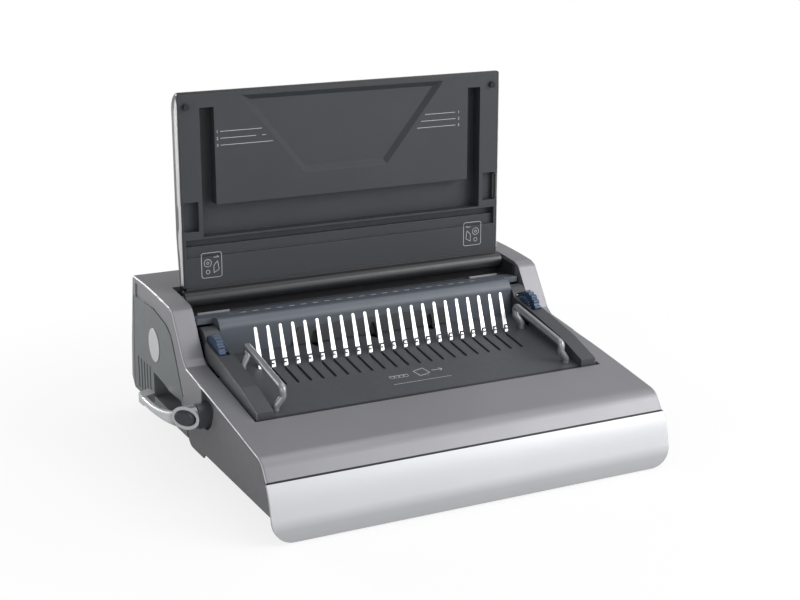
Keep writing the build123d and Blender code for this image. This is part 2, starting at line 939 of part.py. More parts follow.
# Waste drawer: tray and full-width front
with BuildPart() as drawer_tray:
    tray_half = drawer_width / 2
    tray_front_y = -rear_y + tray_setback
    tray_low_z = drawer_floor_z - drawer_wall
    block(-tray_half, tray_half, tray_front_y, drawer_rear_y, tray_low_z, drawer_top_z)
    block(
        -tray_half + drawer_wall,
        tray_half - drawer_wall,
        tray_front_y + drawer_wall,
        drawer_rear_y - drawer_wall,
        drawer_floor_z,
        drawer_top_z,
        mode=Mode.SUBTRACT,
    )
    for side in (-1, 1):
        x0, x1 = sorted((side * (tray_half - tray_rib_in), side * (tray_half - tray_rib_out)))
        rib_front = front_curve(front_skin + 0.3)[1:4]
        rib_low = (tray_front_y, rib_front[0][1])
        rib_high = (tray_front_y, rib_front[-1][1])
        prism(x0, x1, [rib_low] + rib_front + [rib_high])
save(drawer_tray, "drawer_tray")

with BuildPart() as drawer_front:
    with BuildSketch(Plane.YZ.offset(-half)):
        with BuildLine():
            outer_line = Spline(*front_curve(0.0))
            inner_line = Spline(*front_curve(front_skin))
            Line(outer_line @ 0, inner_line @ 0)
            Line(outer_line @ 1, inner_line @ 1)
        make_face()
    extrude(amount=body_width)
    with BuildSketch(Plane.XZ.offset(-seam_y - 20)) as front_outline:
        with Locations((0, (front_bottom_z + seam_z) / 2)):
            Rectangle(body_width, seam_z - front_bottom_z)
        fillet(front_outline.vertices().group_by(Axis.Y)[0], front_corner_r)
    extrude(amount=40, mode=Mode.INTERSECT)
save(drawer_front, "drawer_front")

# Comb deck: dark plate with a slot for each hook and a hole for each tine
deck_front_y = opening_front_y + deck_gap
deck_half = opening_width / 2 - deck_gap
with BuildPart() as deck_plate:
    prism(
        -deck_half,
        deck_half,
        [
            (deck_front_y, deck_z(deck_front_y)),
            (deck_rear_y, deck_z(deck_rear_y)),
            (deck_rear_y, deck_z(deck_rear_y) - deck_wall),
            (deck_front_y, deck_z(deck_front_y) - deck_wall),
        ],
    )
    with BuildSketch(Plane.XY.offset(deck_cut_low_z)):
        with Locations((hook_offset, (slot_front_y + slot_rear_y) / 2)):
            with GridLocations(pitch, 0, hole_count, 1):
                SlotOverall(slot_rear_y - slot_front_y, slot_width, rotation=90)
        with GridLocations(pitch, 0, tine_count, 1):
            with Locations((0, tine_foot_y)):
                Rectangle(tine_base_width + tine_hole_margin, tine_hole_depth)
        with Locations((0, deck_rear_y)):
            with GridLocations(scoop_pitch, 0, scoop_count, 1):
                Ellipse(scoop_half_width, scoop_deck_depth)
    extrude(amount=deck_cut_high_z - deck_cut_low_z, mode=Mode.SUBTRACT)
    for side in (-1, 1):
        x0, x1 = sorted((side * block_inner_x, side * deck_half))
        block(
            x0,
            x1,
            -10,
            deck_rear_y,
            deck_cut_low_z,
            deck_cut_high_z,
            mode=Mode.SUBTRACT,
        )
        for point in (rail_front_foot, rail_rear_foot):
            with BuildSketch(Plane.XY.offset(deck_cut_low_z)):
                with Locations((side * point[0], point[1])):
                    Circle(rail_r + running_clearance)
            extrude(amount=deck_cut_high_z - deck_cut_low_z, mode=Mode.SUBTRACT)
save(deck_plate, "deck_plate")

# Guide rails: bent round bars that stand on the deck, one each side
front_foot_x, front_foot_y = rail_front_foot
rear_foot_x, rear_foot_y = rail_rear_foot
front_foot_z = deck_z(front_foot_y)
rear_foot_z = deck_z(rear_foot_y)
for side, name in ((-1, "left_guide_rail"), (1, "right_guide_rail")):
    with BuildPart() as guide_rail:
        with BuildLine() as route:
            FilletPolyline(
                (side * front_foot_x, front_foot_y, front_foot_z - rail_foot_depth),
                (side * front_foot_x, front_foot_y, front_foot_z + 3),
                (side * rail_x, front_foot_y - 1.5, front_foot_z + 13),
                (side * rail_x, front_foot_y - 2.0, rail_front_z),
                (side * rail_x, rear_foot_y + 4.5, rail_rear_z),
                (side * rail_x, rear_foot_y + 2.0, rear_foot_z + 15),
                (side * rear_foot_x, rear_foot_y, rear_foot_z + 5),
                (side * rear_foot_x, rear_foot_y, rear_foot_z - rail_foot_depth),
                radius=rail_bend_r,
            )
        with BuildSketch(Plane(route.line @ 0, z_dir=(0, 0, 1))):
            Circle(rail_r)
        sweep()
    save(guide_rail, name)

# Side blocks: dark wedges beside the deck, with a pocket for the guide wheel
block_top = [
    (block_front_y, 95.3),
    (-70.0, 109.0),
    (-20.0, 119.6),
    (30.0, 128.6),
    (64.0, 128.6),
]
block_points = (
    [(block_front_y, deck_z(block_front_y))]
    + block_top
    + [(68.0, 128.0), (68.0, deck_z(deck_rear_y)), (12.0, deck_z(deck_rear_y) - 4)]
    + [(-9.0, deck_z(-9.0))]
)
screw_y, screw_z = polar((wheel_y, wheel_z), guide_gear_angle, guide_gear_teeth * gear_module)
for side, name in ((-1, "left_side_block"), (1, "right_side_block")):
    x0, x1 = sorted((side * block_inner_x, side * block_outer_x))
    gear_in = wheel_x - side_gear_width - wheel_gap
    wheel_out = wheel_x + wheel_width + wheel_gap
    pocket_in, pocket_out = sorted((side * gear_in, side * wheel_out))
    bay_in, bay_out = sorted((side * gear_in, side * wheel_x))
    with BuildPart() as side_block:
        prism(x0, x1, block_points)
        disc(x0, x1, (screw_y, screw_z), gear_hump_r)
        block(x0, x1, deck_rear_y - 40, 80, 80, deck_z(deck_rear_y), mode=Mode.SUBTRACT)
        disc(pocket_in, pocket_out, (wheel_y, wheel_z), wheel_r + 1.0, mode=Mode.SUBTRACT)
        disc(bay_in, bay_out, (screw_y, screw_z), gear_hump_r - 0.5, mode=Mode.SUBTRACT)
        disc(x0, x1, (screw_y, screw_z), screw_r + running_clearance, mode=Mode.SUBTRACT)
        disc(x0, x1, (wheel_y, wheel_z), wheel_axle_r + running_clearance, mode=Mode.SUBTRACT)
    save(side_block, name)

# Silver outer faces of the side blocks, each in two lengths
with BuildPart() as block_trims:
    for side in (-1, 1):
        x0, x1 = sorted((side * block_outer_x, side * (block_outer_x + trim_wall)))
        prism(
            x0,
            x1,
            [
                (block_front_y, deck_z(block_front_y) + 0.4),
                (block_front_y, 94.9),
                (-70.0, 108.5),
                (trim_seam_y - 0.3, 119.2),
                (trim_seam_y - 0.3, deck_z(trim_seam_y) + 0.4),
            ],
        )
        prism(
            x0,
            x1,
            [
                (trim_seam_y + 0.3, deck_z(trim_seam_y) + 0.4),
                (trim_seam_y + 0.3, 119.3),
                (30.0, 128.2),
                (34.0, 124.0),
                (34.0, deck_z(34.0) + 0.4),
            ],
        )
save(block_trims, "block_trims")

# Edge guide wheels: ribbed thumbwheels with a side gear and a stub axle
for side, name in ((-1, "left_guide_wheel"), (1, "right_guide_wheel")):
    x0, x1 = sorted((side * wheel_x, side * (wheel_x + wheel_width)))
    gear_x = min(side * (wheel_x - side_gear_width - 0.2), side * (wheel_x - 0.2))
    axle0, axle1 = sorted((side * (block_inner_x + 0.2), side * (block_outer_x - 0.2)))
    with BuildPart() as guide_wheel:
        disc(x0, x1, (wheel_y, wheel_z), wheel_r - 1.6)
        with BuildSketch(Plane.YZ.offset(x0)):
            with Locations((wheel_y, wheel_z)):
                with PolarLocations(wheel_r - wheel_rib_r, wheel_ribs):
                    Circle(wheel_rib_r)
        extrude(amount=x1 - x0)
        gear(gear_x, side_gear_width, (wheel_y, wheel_z), guide_gear_teeth, guide_gear_angle, 0)
        disc(axle0, axle1, (wheel_y, wheel_z), wheel_axle_r)
        hub0, hub1 = sorted((side * (wheel_x - 0.3), side * (wheel_x + 0.3)))
        disc(hub0, hub1, (wheel_y, wheel_z), wheel_hub_r)
    save(guide_wheel, name)

# Guide screw: one shaft with a gear at each end, turned by either wheel
with BuildPart() as guide_screw:
    disc(-block_outer_x + 2, block_outer_x - 2, (screw_y, screw_z), screw_r)
    for side in (-1, 1):
        gear_x = min(side * (wheel_x - side_gear_width - 0.2), side * (wheel_x - 0.2))
        gap_angle = guide_gear_angle + 180 + 180 / guide_gear_teeth
        gear(gear_x, side_gear_width, (screw_y, screw_z), guide_gear_teeth, gap_angle, 0)
save(guide_screw, "guide_screw")

# Edge guides: nuts on the screw, each with an arm and a bright stop in the paper slot
for side, name in ((-1, "left_edge_guide"), (1, "right_edge_guide")):
    n0, n1 = sorted((side * guide_nut_in, side * guide_nut_out))
    t0, t1 = sorted((side * (paper_width / 2 + 2.5), side * guide_blade_out))
    nut_front = screw_y - guide_nut_half
    nut_rear = screw_y + guide_nut_half
    blade_front = slot_y - guide_blade_wall / 2
    blade_rear = slot_y + guide_blade_wall / 2
    with BuildPart() as edge_guide:
        block(n0, n1, nut_front, nut_rear, screw_z - guide_nut_drop, guide_arm_z)
        disc(n0, n1, (screw_y, screw_z), screw_r + running_clearance, mode=Mode.SUBTRACT)
        block(n0, n1, nut_front, blade_rear, guide_arm_z - guide_arm_height, guide_arm_z)
        block(t0, t1, blade_front, blade_rear, punch_z + 4.0, guide_top_z)
    save(edge_guide, name)

# Punch housing: blue-grey cover over the die, in front of the paper slot.
# A lower wing at each end closes the room between the slot and the side block.
slot_face_y = slot_y - slot_lip / 2
top_fall = (ridge_z - slot_top_z) / (slot_face_y - ridge_y)
wing_front_z = ridge_z - top_fall * (wing_front_y - ridge_y)
wing_inner_z = slot_top_z + top_fall * housing_wall - housing_wall
with BuildPart() as punch_housing:
    with BuildSketch(Plane.YZ.offset(-housing_half)) as housing_side:
        with BuildLine():
            Polyline(
                (deck_rear_y + 0.4, deck_z(deck_rear_y) - 1.0),
                (deck_rear_y + 0.6, housing_front_z),
                (ridge_y, ridge_z),
                (slot_face_y, slot_top_z),
                (slot_face_y, deck_z(deck_rear_y) - 1.0),
                close=True,
            )
        make_face()
        fillet(corner(housing_side, deck_rear_y + 0.6, housing_front_z), housing_front_r)
        fillet(corner(housing_side, ridge_y, ridge_z), ridge_r)
    extrude(amount=2 * housing_half)
    with BuildSketch(Plane.YZ.offset(-housing_half + housing_wall)) as housing_core:
        with BuildLine():
            Polyline(
                (deck_rear_y + 0.4, deck_cut_low_z),
                (deck_rear_y + 0.6, housing_front_z),
                (ridge_y, ridge_z),
                (slot_face_y, slot_top_z),
                (slot_y + 20, slot_top_z - 2),
                (slot_y + 20, deck_cut_low_z),
                close=True,
            )
        make_face()
        fillet(corner(housing_core, deck_rear_y + 0.6, housing_front_z), housing_front_r)
        fillet(corner(housing_core, ridge_y, ridge_z), ridge_r)
        offset(amount=-housing_wall)
    extrude(amount=2 * housing_half - 2 * housing_wall, mode=Mode.SUBTRACT)
    for side in (-1, 1):
        x0, x1 = sorted((side * housing_half, side * wing_x))
        prism(
            x0,
            x1,
            [
                (wing_front_y, wing_low_z),
                (wing_front_y, wing_front_z),
                (slot_face_y, slot_top_z),
                (slot_face_y, wing_rear_low_z),
                (slot_face_y - housing_wall, wing_rear_low_z),
                (slot_face_y - housing_wall, wing_inner_z),
                (wing_front_y + housing_wall, wing_front_z - housing_wall),
                (wing_front_y + housing_wall, wing_low_z),
            ],
        )
        x0, x1 = sorted((side * (wing_x - housing_wall), side * wing_x))
        prism(
            x0,
            x1,
            [
                (wing_front_y, wing_low_z),
                (wing_front_y, wing_front_z),
                (slot_face_y, slot_top_z),
                (slot_face_y, wing_rear_low_z),
                (liner_front_y, wing_rear_low_z),
                (liner_front_y, wing_low_z),
            ],
        )
    disc(-housing_half, housing_half, (screw_y, screw_z), screw_r + 0.6, mode=Mode.SUBTRACT)
save(punch_housing, "punch_housing")

# Raised panel on the housing's front, with three finger scoops
with BuildPart() as housing_panel:
    with BuildSketch(Plane.XZ.offset(-(deck_rear_y + 0.2))) as panel_face:
        with BuildLine():
            Polyline(
                (-panel_foot_half, deck_z(deck_rear_y) + 0.6),
                (-panel_top_half, panel_top_z),
                (panel_top_half, panel_top_z),
                (panel_foot_half, deck_z(deck_rear_y) + 0.6),
                close=True,
            )
        make_face()
        fillet(panel_face.vertices().group_by(Axis.Y)[-1], panel_corner_r)
    extrude(amount=panel_wall)
    with BuildSketch(Plane.XZ.offset(-(deck_rear_y + 0.2))):
        with Locations((0, deck_z(deck_rear_y))):
            with GridLocations(scoop_pitch, 0, scoop_count, 1):
                Ellipse(scoop_half_width, scoop_height)
    extrude(amount=panel_wall, mode=Mode.SUBTRACT)
save(housing_panel, "housing_panel")

# Throat liner: dark end walls beside the housing and the trough behind the slot
liner_out = opening_width / 2 - 0.5
with BuildPart() as end_walls:
    extrude(case_face(wall), amount=liner_out, both=True)
    extrude(case_face(wall), amount=liner_out - liner_wall, both=True, mode=Mode.SUBTRACT)
    block(
        -liner_out,
        liner_out,
        liner_front_y,
        opening_rear_y - 0.5,
        liner_low_z,
        top_z,
        mode=Mode.INTERSECT,
    )
with BuildPart() as throat_liner:
    prism(
        -liner_out,
        liner_out,
        [
            (slot_y + slot_lip / 2, slot_top_z - 0.6),
            (slot_y + slot_lip / 2, slot_top_z - 6.0),
            (slot_y + slot_lip / 2 + 2.0, slot_top_z - 6.0),
            (slot_y + slot_lip / 2 + 2.0, slot_top_z - 2.6),
            (118.0, slot_top_z - 1.0),
            (126.8, 160.0),
            (124.8, 161.0),
            (116.6, slot_top_z + 0.8),
        ],
    )
    add(end_walls.part)
    for side in (-1, 1):
        x0, x1 = sorted((side * (liner_out - liner_wall - 1), side * (liner_out + 1)))
        disc(x0, x1, (hinge_y, hinge_z), hinge_pin_r + 0.3, mode=Mode.SUBTRACT)
save(throat_liner, "throat_liner")

# Tine plate: steel strip under the deck with the fixed tines bent up from it
lean = math.radians(tine_lean)
tine_root = 10.0
tine_length = (tine_tip_z - deck_z0 - 4.5) / math.cos(lean) + tine_root
tine_plane = Plane(
    origin=(0, tine_tip_y - tine_length * math.sin(lean), tine_tip_z - tine_length * math.cos(lean)),
    x_dir=(1, 0, 0),
    z_dir=(0, -math.cos(lean), math.sin(lean)),
)
with BuildPart() as tine_plate:
    with BuildSketch(tine_plane):
        with GridLocations(pitch, 0, tine_count, 1):
            Polygon(
                (-tine_base_width / 2, 0),
                (-tine_tip_width / 2, tine_length - 1.2),
                (-tine_tip_width / 4, tine_length),
                (tine_tip_width / 4, tine_length),
                (tine_tip_width / 2, tine_length - 1.2),
                (tine_base_width / 2, 0),
                align=None,
            )
    extrude(amount=-tine_wall)
    root_y = tine_plane.origin.Y
    strip_half = pitch * tine_count / 2 + 4
    prism(
        -strip_half,
        strip_half,
        [
            (root_y - 0.4, deck_z(root_y - 0.4) - deck_wall - 0.2),
            (root_y + 14, deck_z(root_y + 14) - deck_wall - 0.2),
            (root_y + 14, deck_z(root_y + 14) - deck_wall - 1.7),
            (root_y - 0.4, deck_z(root_y - 0.4) - deck_wall - 1.7),
        ],
    )
save(tine_plate, "tine_plate")

# Paths under the deck run parallel to it: distances below the deck's upper face
carriage_gap = 0.6
carriage_wall = 2.0
shaft_depth = (deck_z(lever_y) - lever_z) * math.cos(math.radians(slope_angle))
rack_tip_depth = shaft_depth - comb_pinion_r + 0.95 * gear_module
plate_top = deck_wall + carriage_gap
plate_low = plate_top + carriage_wall


def under_deck(y, depth):
    """Point below the deck's upper face, depth measured square to the deck."""
    turn = math.radians(slope_angle)
    return (y + depth * math.sin(turn), deck_z(y) - depth * math.cos(turn))


# Hook carriage: plate under the deck with one F-shaped hook for each comb ring
with BuildPart() as hook_plate:
    prism(
        -carriage_half,
        carriage_half,
        [
            under_deck(carriage_front_y, plate_top),
            under_deck(carriage_rear_y, plate_top),
            under_deck(carriage_rear_y, plate_low),
            under_deck(carriage_front_y, plate_low),
        ],
    )
    hook_low = deck_z(hook_y) - plate_low
    hook_top = deck_z(hook_y) + hook_height
    with BuildSketch(Plane.XZ.offset(-hook_y)):
        with GridLocations(pitch, 0, hole_count, 1):
            with Locations((hook_offset, (hook_low + hook_top) / 2)):
                Rectangle(hook_wall, hook_top - hook_low)
            with Locations((hook_offset + hook_barb / 2 - 0.5, hook_top - hook_barb_height / 2)):
                Rectangle(hook_barb, hook_barb_height)
            with Locations((hook_offset + hook_step / 2 - 0.5, hook_top - hook_step_drop)):
                Rectangle(hook_step, hook_step_height)
    extrude(amount=hook_wall)
save(hook_plate, "hook_plate")

# Racks on the carriage's underside, in mesh with the pinions on the lever's shaft
with BuildPart() as carriage_racks:
    turn = math.radians(slope_angle)
    tooth_pitch = math.pi * gear_module
    rack_root = rack_tip_depth - 2.15 * gear_module
    first, last = -4, 15
    half_pitch_width = tooth_share * tooth_pitch / 4
    flank = math.tan(math.radians(pressure_angle))
    tip_half = half_pitch_width - 0.95 * gear_module * flank
    root_half = half_pitch_width + 1.2 * gear_module * flank
    rack_line = []
    for tooth in range(first, last):
        middle = (tooth + 0.5) * tooth_pitch
        rack_line += [
            (middle - root_half, rack_root),
            (middle - tip_half, rack_tip_depth),
            (middle + tip_half, rack_tip_depth),
            (middle + root_half, rack_root),
        ]
    start = rack_line[0][0] - 0.6
    end = rack_line[-1][0] + 0.6
    rack_line = [(start, plate_low), (start, rack_root)] + rack_line
    rack_line += [(end, rack_root), (end, plate_low)]
    foot = lever_y - shaft_depth * math.sin(turn)
    rack_points = []
    for along, depth in rack_line:
        y = foot + along * math.cos(turn)
        rack_points.append(under_deck(y, depth))
    for side in (-1, 1):
        x0, x1 = sorted((side * rack_x, side * (rack_x + rack_width)))
        prism(x0, x1, rack_points)
save(carriage_racks, "carriage_racks")

# Carriage rails: two ledges fixed between the tray's ears, under the plate's ends
with BuildPart() as carriage_rails:
    for side in (-1, 1):
        x0, x1 = sorted((side * (rack_x + rack_width + 1.5), side * (base_x - base_wall)))
        prism(
            x0,
            x1,
            [
                under_deck(carriage_front_y - 40, plate_low + 0.2),
                under_deck(carriage_rear_y + 2, plate_low + 0.2),
                under_deck(carriage_rear_y + 2, plate_low + 3.0),
                under_deck(carriage_front_y - 40, plate_low + 3.0),
            ],
        )
save(carriage_rails, "carriage_rails")

# Lever shaft with its two pinions
shaft_end = -lever_plane_x + 9.0
with BuildPart() as lever_shaft:
    disc(shaft_end, base_x + 3, (lever_y, lever_z), lever_shaft_r)
save(lever_shaft, "lever_shaft")

with BuildPart() as lever_pinions:
    for side in (-1, 1):
        x0 = min(side * rack_x, side * (rack_x + rack_width))
        gear(x0, rack_width, (lever_y, lever_z), comb_pinion_teeth, 90 + slope_angle, lever_shaft_r)
        hub = sorted((side * (rack_x - 5), side * rack_x))
        with BuildSketch(Plane.YZ.offset(hub[0])):
            with Locations((lever_y, lever_z)):
                Circle(8.5)
                Circle(lever_shaft_r, mode=Mode.SUBTRACT)
        extrude(amount=hub[1] - hub[0])
save(lever_pinions, "lever_pinions")

# Shaft bushes in the tray's ears
with BuildPart() as shaft_bushes:
    for side in (-1, 1):
        x0, x1 = sorted((side * (base_x - base_wall), side * (base_x + 2.0)))
        disc(x0, x1, (lever_y, lever_z), bush_r)
        disc(x0, x1, (lever_y, lever_z), lever_shaft_r + running_clearance, mode=Mode.SUBTRACT)
save(shaft_bushes, "shaft_bushes")

# Comb opening lever: hub with a slanted end, curved arm and a grip turned in towards the case
hub_in = -half - 9.5
hub_out = -lever_plane_x - 14.0
sleeve_in = -half + lever_pocket_depth - 1.0
hub_face = Plane(
    origin=(-lever_plane_x, lever_y, lever_z),
    x_dir=(-0.65, 0.76, 0),
    z_dir=(-0.76, -0.65, 0),
)
with BuildPart() as comb_lever:
    disc(hub_out, hub_in, (lever_y, lever_z), lever_hub_r)
    disc(hub_in, sleeve_in, (lever_y, lever_z), hub_sleeve_r)
    with BuildLine() as arm_route:
        Spline(
            (-lever_plane_x, lever_y + 4, lever_z - 2.0),
            (-lever_plane_x - 2, lever_y + 44, lever_z - 12.5),
            (-lever_plane_x - 2, lever_y + 91, lever_z - 20.0),
            (-lever_plane_x, lever_end_y, lever_end_z),
        )
    with BuildSketch(Plane(arm_route.line @ 0, x_dir=(1, 0, 0), z_dir=arm_route.line % 0)):
        RectangleRounded(10.0, 19.0, 3.5)
    with BuildSketch(Plane(arm_route.line @ 0.35, x_dir=(1, 0, 0), z_dir=arm_route.line % 0.35)):
        RectangleRounded(8.0, 12.0, 3.0)
    with BuildSketch(Plane(arm_route.line @ 1, x_dir=(1, 0, 0), z_dir=arm_route.line % 1)):
        RectangleRounded(7.0, 10.0, 3.0)
    sweep(path=arm_route.line, multisection=True)
    with BuildSketch(Plane.XY.offset(grip_top_z - grip_height)) as grip_plan:
        with BuildLine():
            Polyline(
                (-lever_plane_x - 3.4, lever_end_y - 14),
                (-half - 8.0, lever_end_y - 7),
                (-half - 8.0, lever_end_y + 12),
                (-lever_plane_x - 3.4, lever_end_y + 3),
                close=True,
            )
        make_face()
        fillet(grip_plan.vertices(), 2.0)
    extrude(amount=grip_height)
    fillet(comb_lever.edges().group_by(Axis.Z)[-1], 1.0)
    with BuildSketch(hub_face):
        Circle(3 * lever_hub_r)
    extrude(amount=40, mode=Mode.SUBTRACT)
    with BuildSketch(hub_face):
        Ellipse(dome_half_width + 0.2, dome_half_height + 0.2)
    extrude(amount=-2.2, mode=Mode.SUBTRACT)
    disc(shaft_end, sleeve_in, (lever_y, lever_z), lever_shaft_r, mode=Mode.SUBTRACT)
save(comb_lever, "comb_lever")

# Dome: dark oval cap in the slanted face of the lever's hub
with BuildPart() as lever_dome:
    with BuildSketch(hub_face.offset(-2.0)):
        Ellipse(dome_half_width, dome_half_height)
    extrude(amount=2.0 + dome_height)
    outer_rim = lever_dome.edges().sort_by(Axis((0, 0, 0), tuple(hub_face.z_dir)))[-1]
    fillet(outer_rim, dome_height)
save(lever_dome, "lever_dome")

# Barrel boss: dark collar in the case's pocket, round the sleeve of the lever's hub
with BuildPart() as lever_boss:
    disc(hub_in + 0.5, -half + lever_pocket_depth, (lever_y, lever_z), barrel_boss_r)
    disc(
        hub_in,
        -half + lever_pocket_depth,
        (lever_y, lever_z),
        hub_sleeve_r + running_clearance,
        mode=Mode.SUBTRACT,
    )
save(lever_boss, "lever_boss")

# Die: two steel plates with a hole for each comb ring.
# The strip that the paper stands on is part of the front one.
with BuildPart() as front_die:
    block(-die_half, die_half, die_front_y, die_front_y + front_die_wall, die_bottom, die_top)
    with BuildSketch(Plane.XZ.offset(-die_front_y - front_die_wall)):
        with Locations((0, punch_z)):
            with GridLocations(pitch, 0, hole_count, 1):
                Rectangle(
                    punch_hole_width + 2 * punch_clearance, punch_hole_height + 2 * punch_clearance
                )
    extrude(amount=front_die_wall, mode=Mode.SUBTRACT)
    block(-die_half, die_half, die_front_y + front_die_wall, die_rear_y, die_bottom, paper_stop_z)
save(front_die, "front_die")

with BuildPart() as rear_die:
    block(-die_half, die_half, die_rear_y, die_rear_y + rear_die_wall, die_bottom, die_top)
    with BuildSketch(Plane.XZ.offset(-die_rear_y - rear_die_wall)):
        with Locations((0, punch_z)):
            with GridLocations(pitch, 0, hole_count, 1):
                Rectangle(
                    punch_hole_width + 2 * punch_clearance, punch_hole_height + 2 * punch_clearance
                )
    extrude(amount=rear_die_wall, mode=Mode.SUBTRACT)
save(rear_die, "rear_die")

# Punch bar with two yokes round the cams
yoke_front = cam_y - cam_r - roller_gap - 2 * roller_r
yoke_rear = cam_y + cam_r + roller_gap + punch_stroke + 2 * roller_r
yoke_half = cam_r + punch_stroke + 0.6
bar_rear = bar_y + bar_wall
with BuildPart() as punch_bar:
    block(-bar_half, bar_half, bar_y, bar_rear, punch_z - 7, punch_z + 7)
    for side in (-1, 1):
        x0, x1 = sorted((side * (cam_x - 1.0), side * (cam_x + cam_width + 1.0)))
        prism(
            x0,
            x1,
            [
                (bar_rear - 1, punch_z - 10),
                (bar_rear - 1, punch_z + 10),
                (bar_rear + 11.5, punch_z + yoke_half + yoke_wall),
                (yoke_rear + yoke_wall, punch_z + yoke_half + yoke_wall),
                (yoke_rear + yoke_wall, punch_z - yoke_half - yoke_wall),
                (bar_rear + 11.5, punch_z - yoke_half - yoke_wall),
            ],
        )
        prism(
            x0,
            x1,
            [
                (yoke_front, punch_z - 8),
                (yoke_front, punch_z + 8),
                (yoke_front + 9, punch_z + yoke_half),
                (yoke_rear, punch_z + yoke_half),
                (yoke_rear, punch_z - yoke_half),
                (yoke_front + 9, punch_z - yoke_half),
            ],
            mode=Mode.SUBTRACT,
        )
        disc(x0, x1, (yoke_front + roller_r, punch_z), roller_r)
        disc(x0, x1, (yoke_rear - roller_r, punch_z), roller_r)
        block(x0, x1, yoke_front - 1, yoke_front + roller_r, punch_z - 1.5, punch_z + 1.5)
        block(x0, x1, yoke_rear - roller_r, yoke_rear + 1, punch_z - 1.5, punch_z + 1.5)
save(punch_bar, "punch_bar")

# Punch pins: one flat steel pin for each hole, seated on the bar's front face
with BuildPart() as punch_pins:
    with BuildSketch(Plane.XZ.offset(-bar_y)):
        with Locations((0, punch_z)):
            with GridLocations(pitch, 0, hole_count, 1):
                Rectangle(punch_hole_width, punch_hole_height)
    extrude(amount=bar_y - die_rear_y - 0.8)
save(punch_pins, "punch_pins")


def cam_points():
    """Heart-shaped cam: the radius grows evenly with the angle over half a turn."""
    points = []
    for step in range(0, 360, 6):
        turn = abs(180.0 - step)
        radius = cam_r + punch_stroke * turn / 180.0
        angle = math.radians(step)
        points.append((cam_y + radius * math.cos(angle), punch_z + radius * math.sin(angle)))
    return points


# Camshaft: steel bar through both frames with two heart-shaped cams
with BuildPart() as camshaft:
    disc(-frame_x - frame_wall - 4, gear_x0 + gear_width + 2, (cam_y, punch_z), camshaft_r)
    for side in (-1, 1):
        x0, x1 = sorted((side * cam_x, side * (cam_x + cam_width)))
        prism(x0, x1, cam_points())
save(camshaft, "camshaft")

# Reduction gears from the motor to the camshaft
idler_distance = gear_module * (cam_gear_teeth + idler_pinion_teeth) / 2 + 0.05
motor_distance = gear_module * (idler_gear_teeth + motor_pinion_teeth) / 2 + 0.05
idler_centre = polar((cam_y, punch_z), idler_angle, idler_distance)
motor_centre = polar(idler_centre, motor_angle, motor_distance)
with BuildPart() as cam_gear:
    gear(gear_x0, gear_width, (cam_y, punch_z), cam_gear_teeth, idler_angle, camshaft_r)
save(cam_gear, "cam_gear")

with BuildPart() as idler_gear:
    gear(
        gear_x0,
        gear_width,
        idler_centre,
        idler_pinion_teeth,
        idler_angle + 180 + 180 / idler_pinion_teeth,
        0,
    )
    gear(gear_x0 + gear_width, gear_width, idler_centre, idler_gear_teeth, motor_angle, 0)
    disc(
        gear_x0,
        gear_x0 + 2 * gear_width,
        idler_centre,
        idler_pin_r + running_clearance,
        mode=Mode.SUBTRACT,
    )
save(idler_gear, "idler_gear")

with BuildPart() as motor_pinion:
    gear(
        gear_x0 + gear_width,
        gear_width,
        motor_centre,
        motor_pinion_teeth,
        motor_angle + 180 + 180 / motor_pinion_teeth,
        0,
    )
    disc(frame_x - 4, gear_x0 + gear_width, motor_centre, motor_shaft_r)
save(motor_pinion, "motor_pinion")

# Motor: steel can with a boss that carries the shaft
with BuildPart() as drive_motor:
    disc(frame_x - motor_length, frame_x, motor_centre, motor_r)
    fillet(drive_motor.edges().filter_by(GeomType.CIRCLE).group_by(Axis.X)[0], 3.0)
    disc(frame_x - motor_length - 6, frame_x - motor_length, motor_centre, motor_r / 2.5)
    disc(
        frame_x - 6, frame_x, motor_centre, motor_shaft_r + running_clearance, mode=Mode.SUBTRACT
    )
save(drive_motor, "drive_motor")

# Steel frames: side plates that carry the die, the camshaft and the motor.
# The idler's pin is part of the right-hand frame.
frame_outline = [
    (frame_front_y, floor_z + floor_wall),
    (frame_front_y, die_top),
    (slot_y - 4.0, die_top),
    (slot_y - 4.0, paper_stop_z),
    (slot_y + 4.0, paper_stop_z),
    (slot_y + 4.0, die_top),
    (112.0, die_top),
    (124.0, 141.0),
    (132.0, 147.5),
    (160.0, 147.5),
    (188.0, 120.0),
    (188.0, floor_z + floor_wall),
]
for side, name in ((-1, "left_frame"), (1, "right_frame")):
    x0, x1 = sorted((side * frame_x, side * (frame_x + frame_wall)))
    with BuildPart() as frame_plate:
        prism(x0, x1, frame_outline)
        disc(x0, x1, (cam_y, punch_z), camshaft_r + running_clearance, mode=Mode.SUBTRACT)
        if side > 0:
            disc(x0, x1, motor_centre, motor_shaft_r + 1.0, mode=Mode.SUBTRACT)
            disc(frame_x, gear_x0 + 2 * gear_width + 2, idler_centre, idler_pin_r)
    save(frame_plate, name)

# Control board on the base's pillars
with BuildPart() as control_board:
    board_top = board_z + board_wall
    block(board_x0, board_x1, board_y0, board_y1, board_z, board_top)
    for x, y, w, d, h in board_parts:
        block(x - w / 2, x + w / 2, y - d / 2, y + d / 2, board_top, board_top + h)
save(control_board, "control_board")

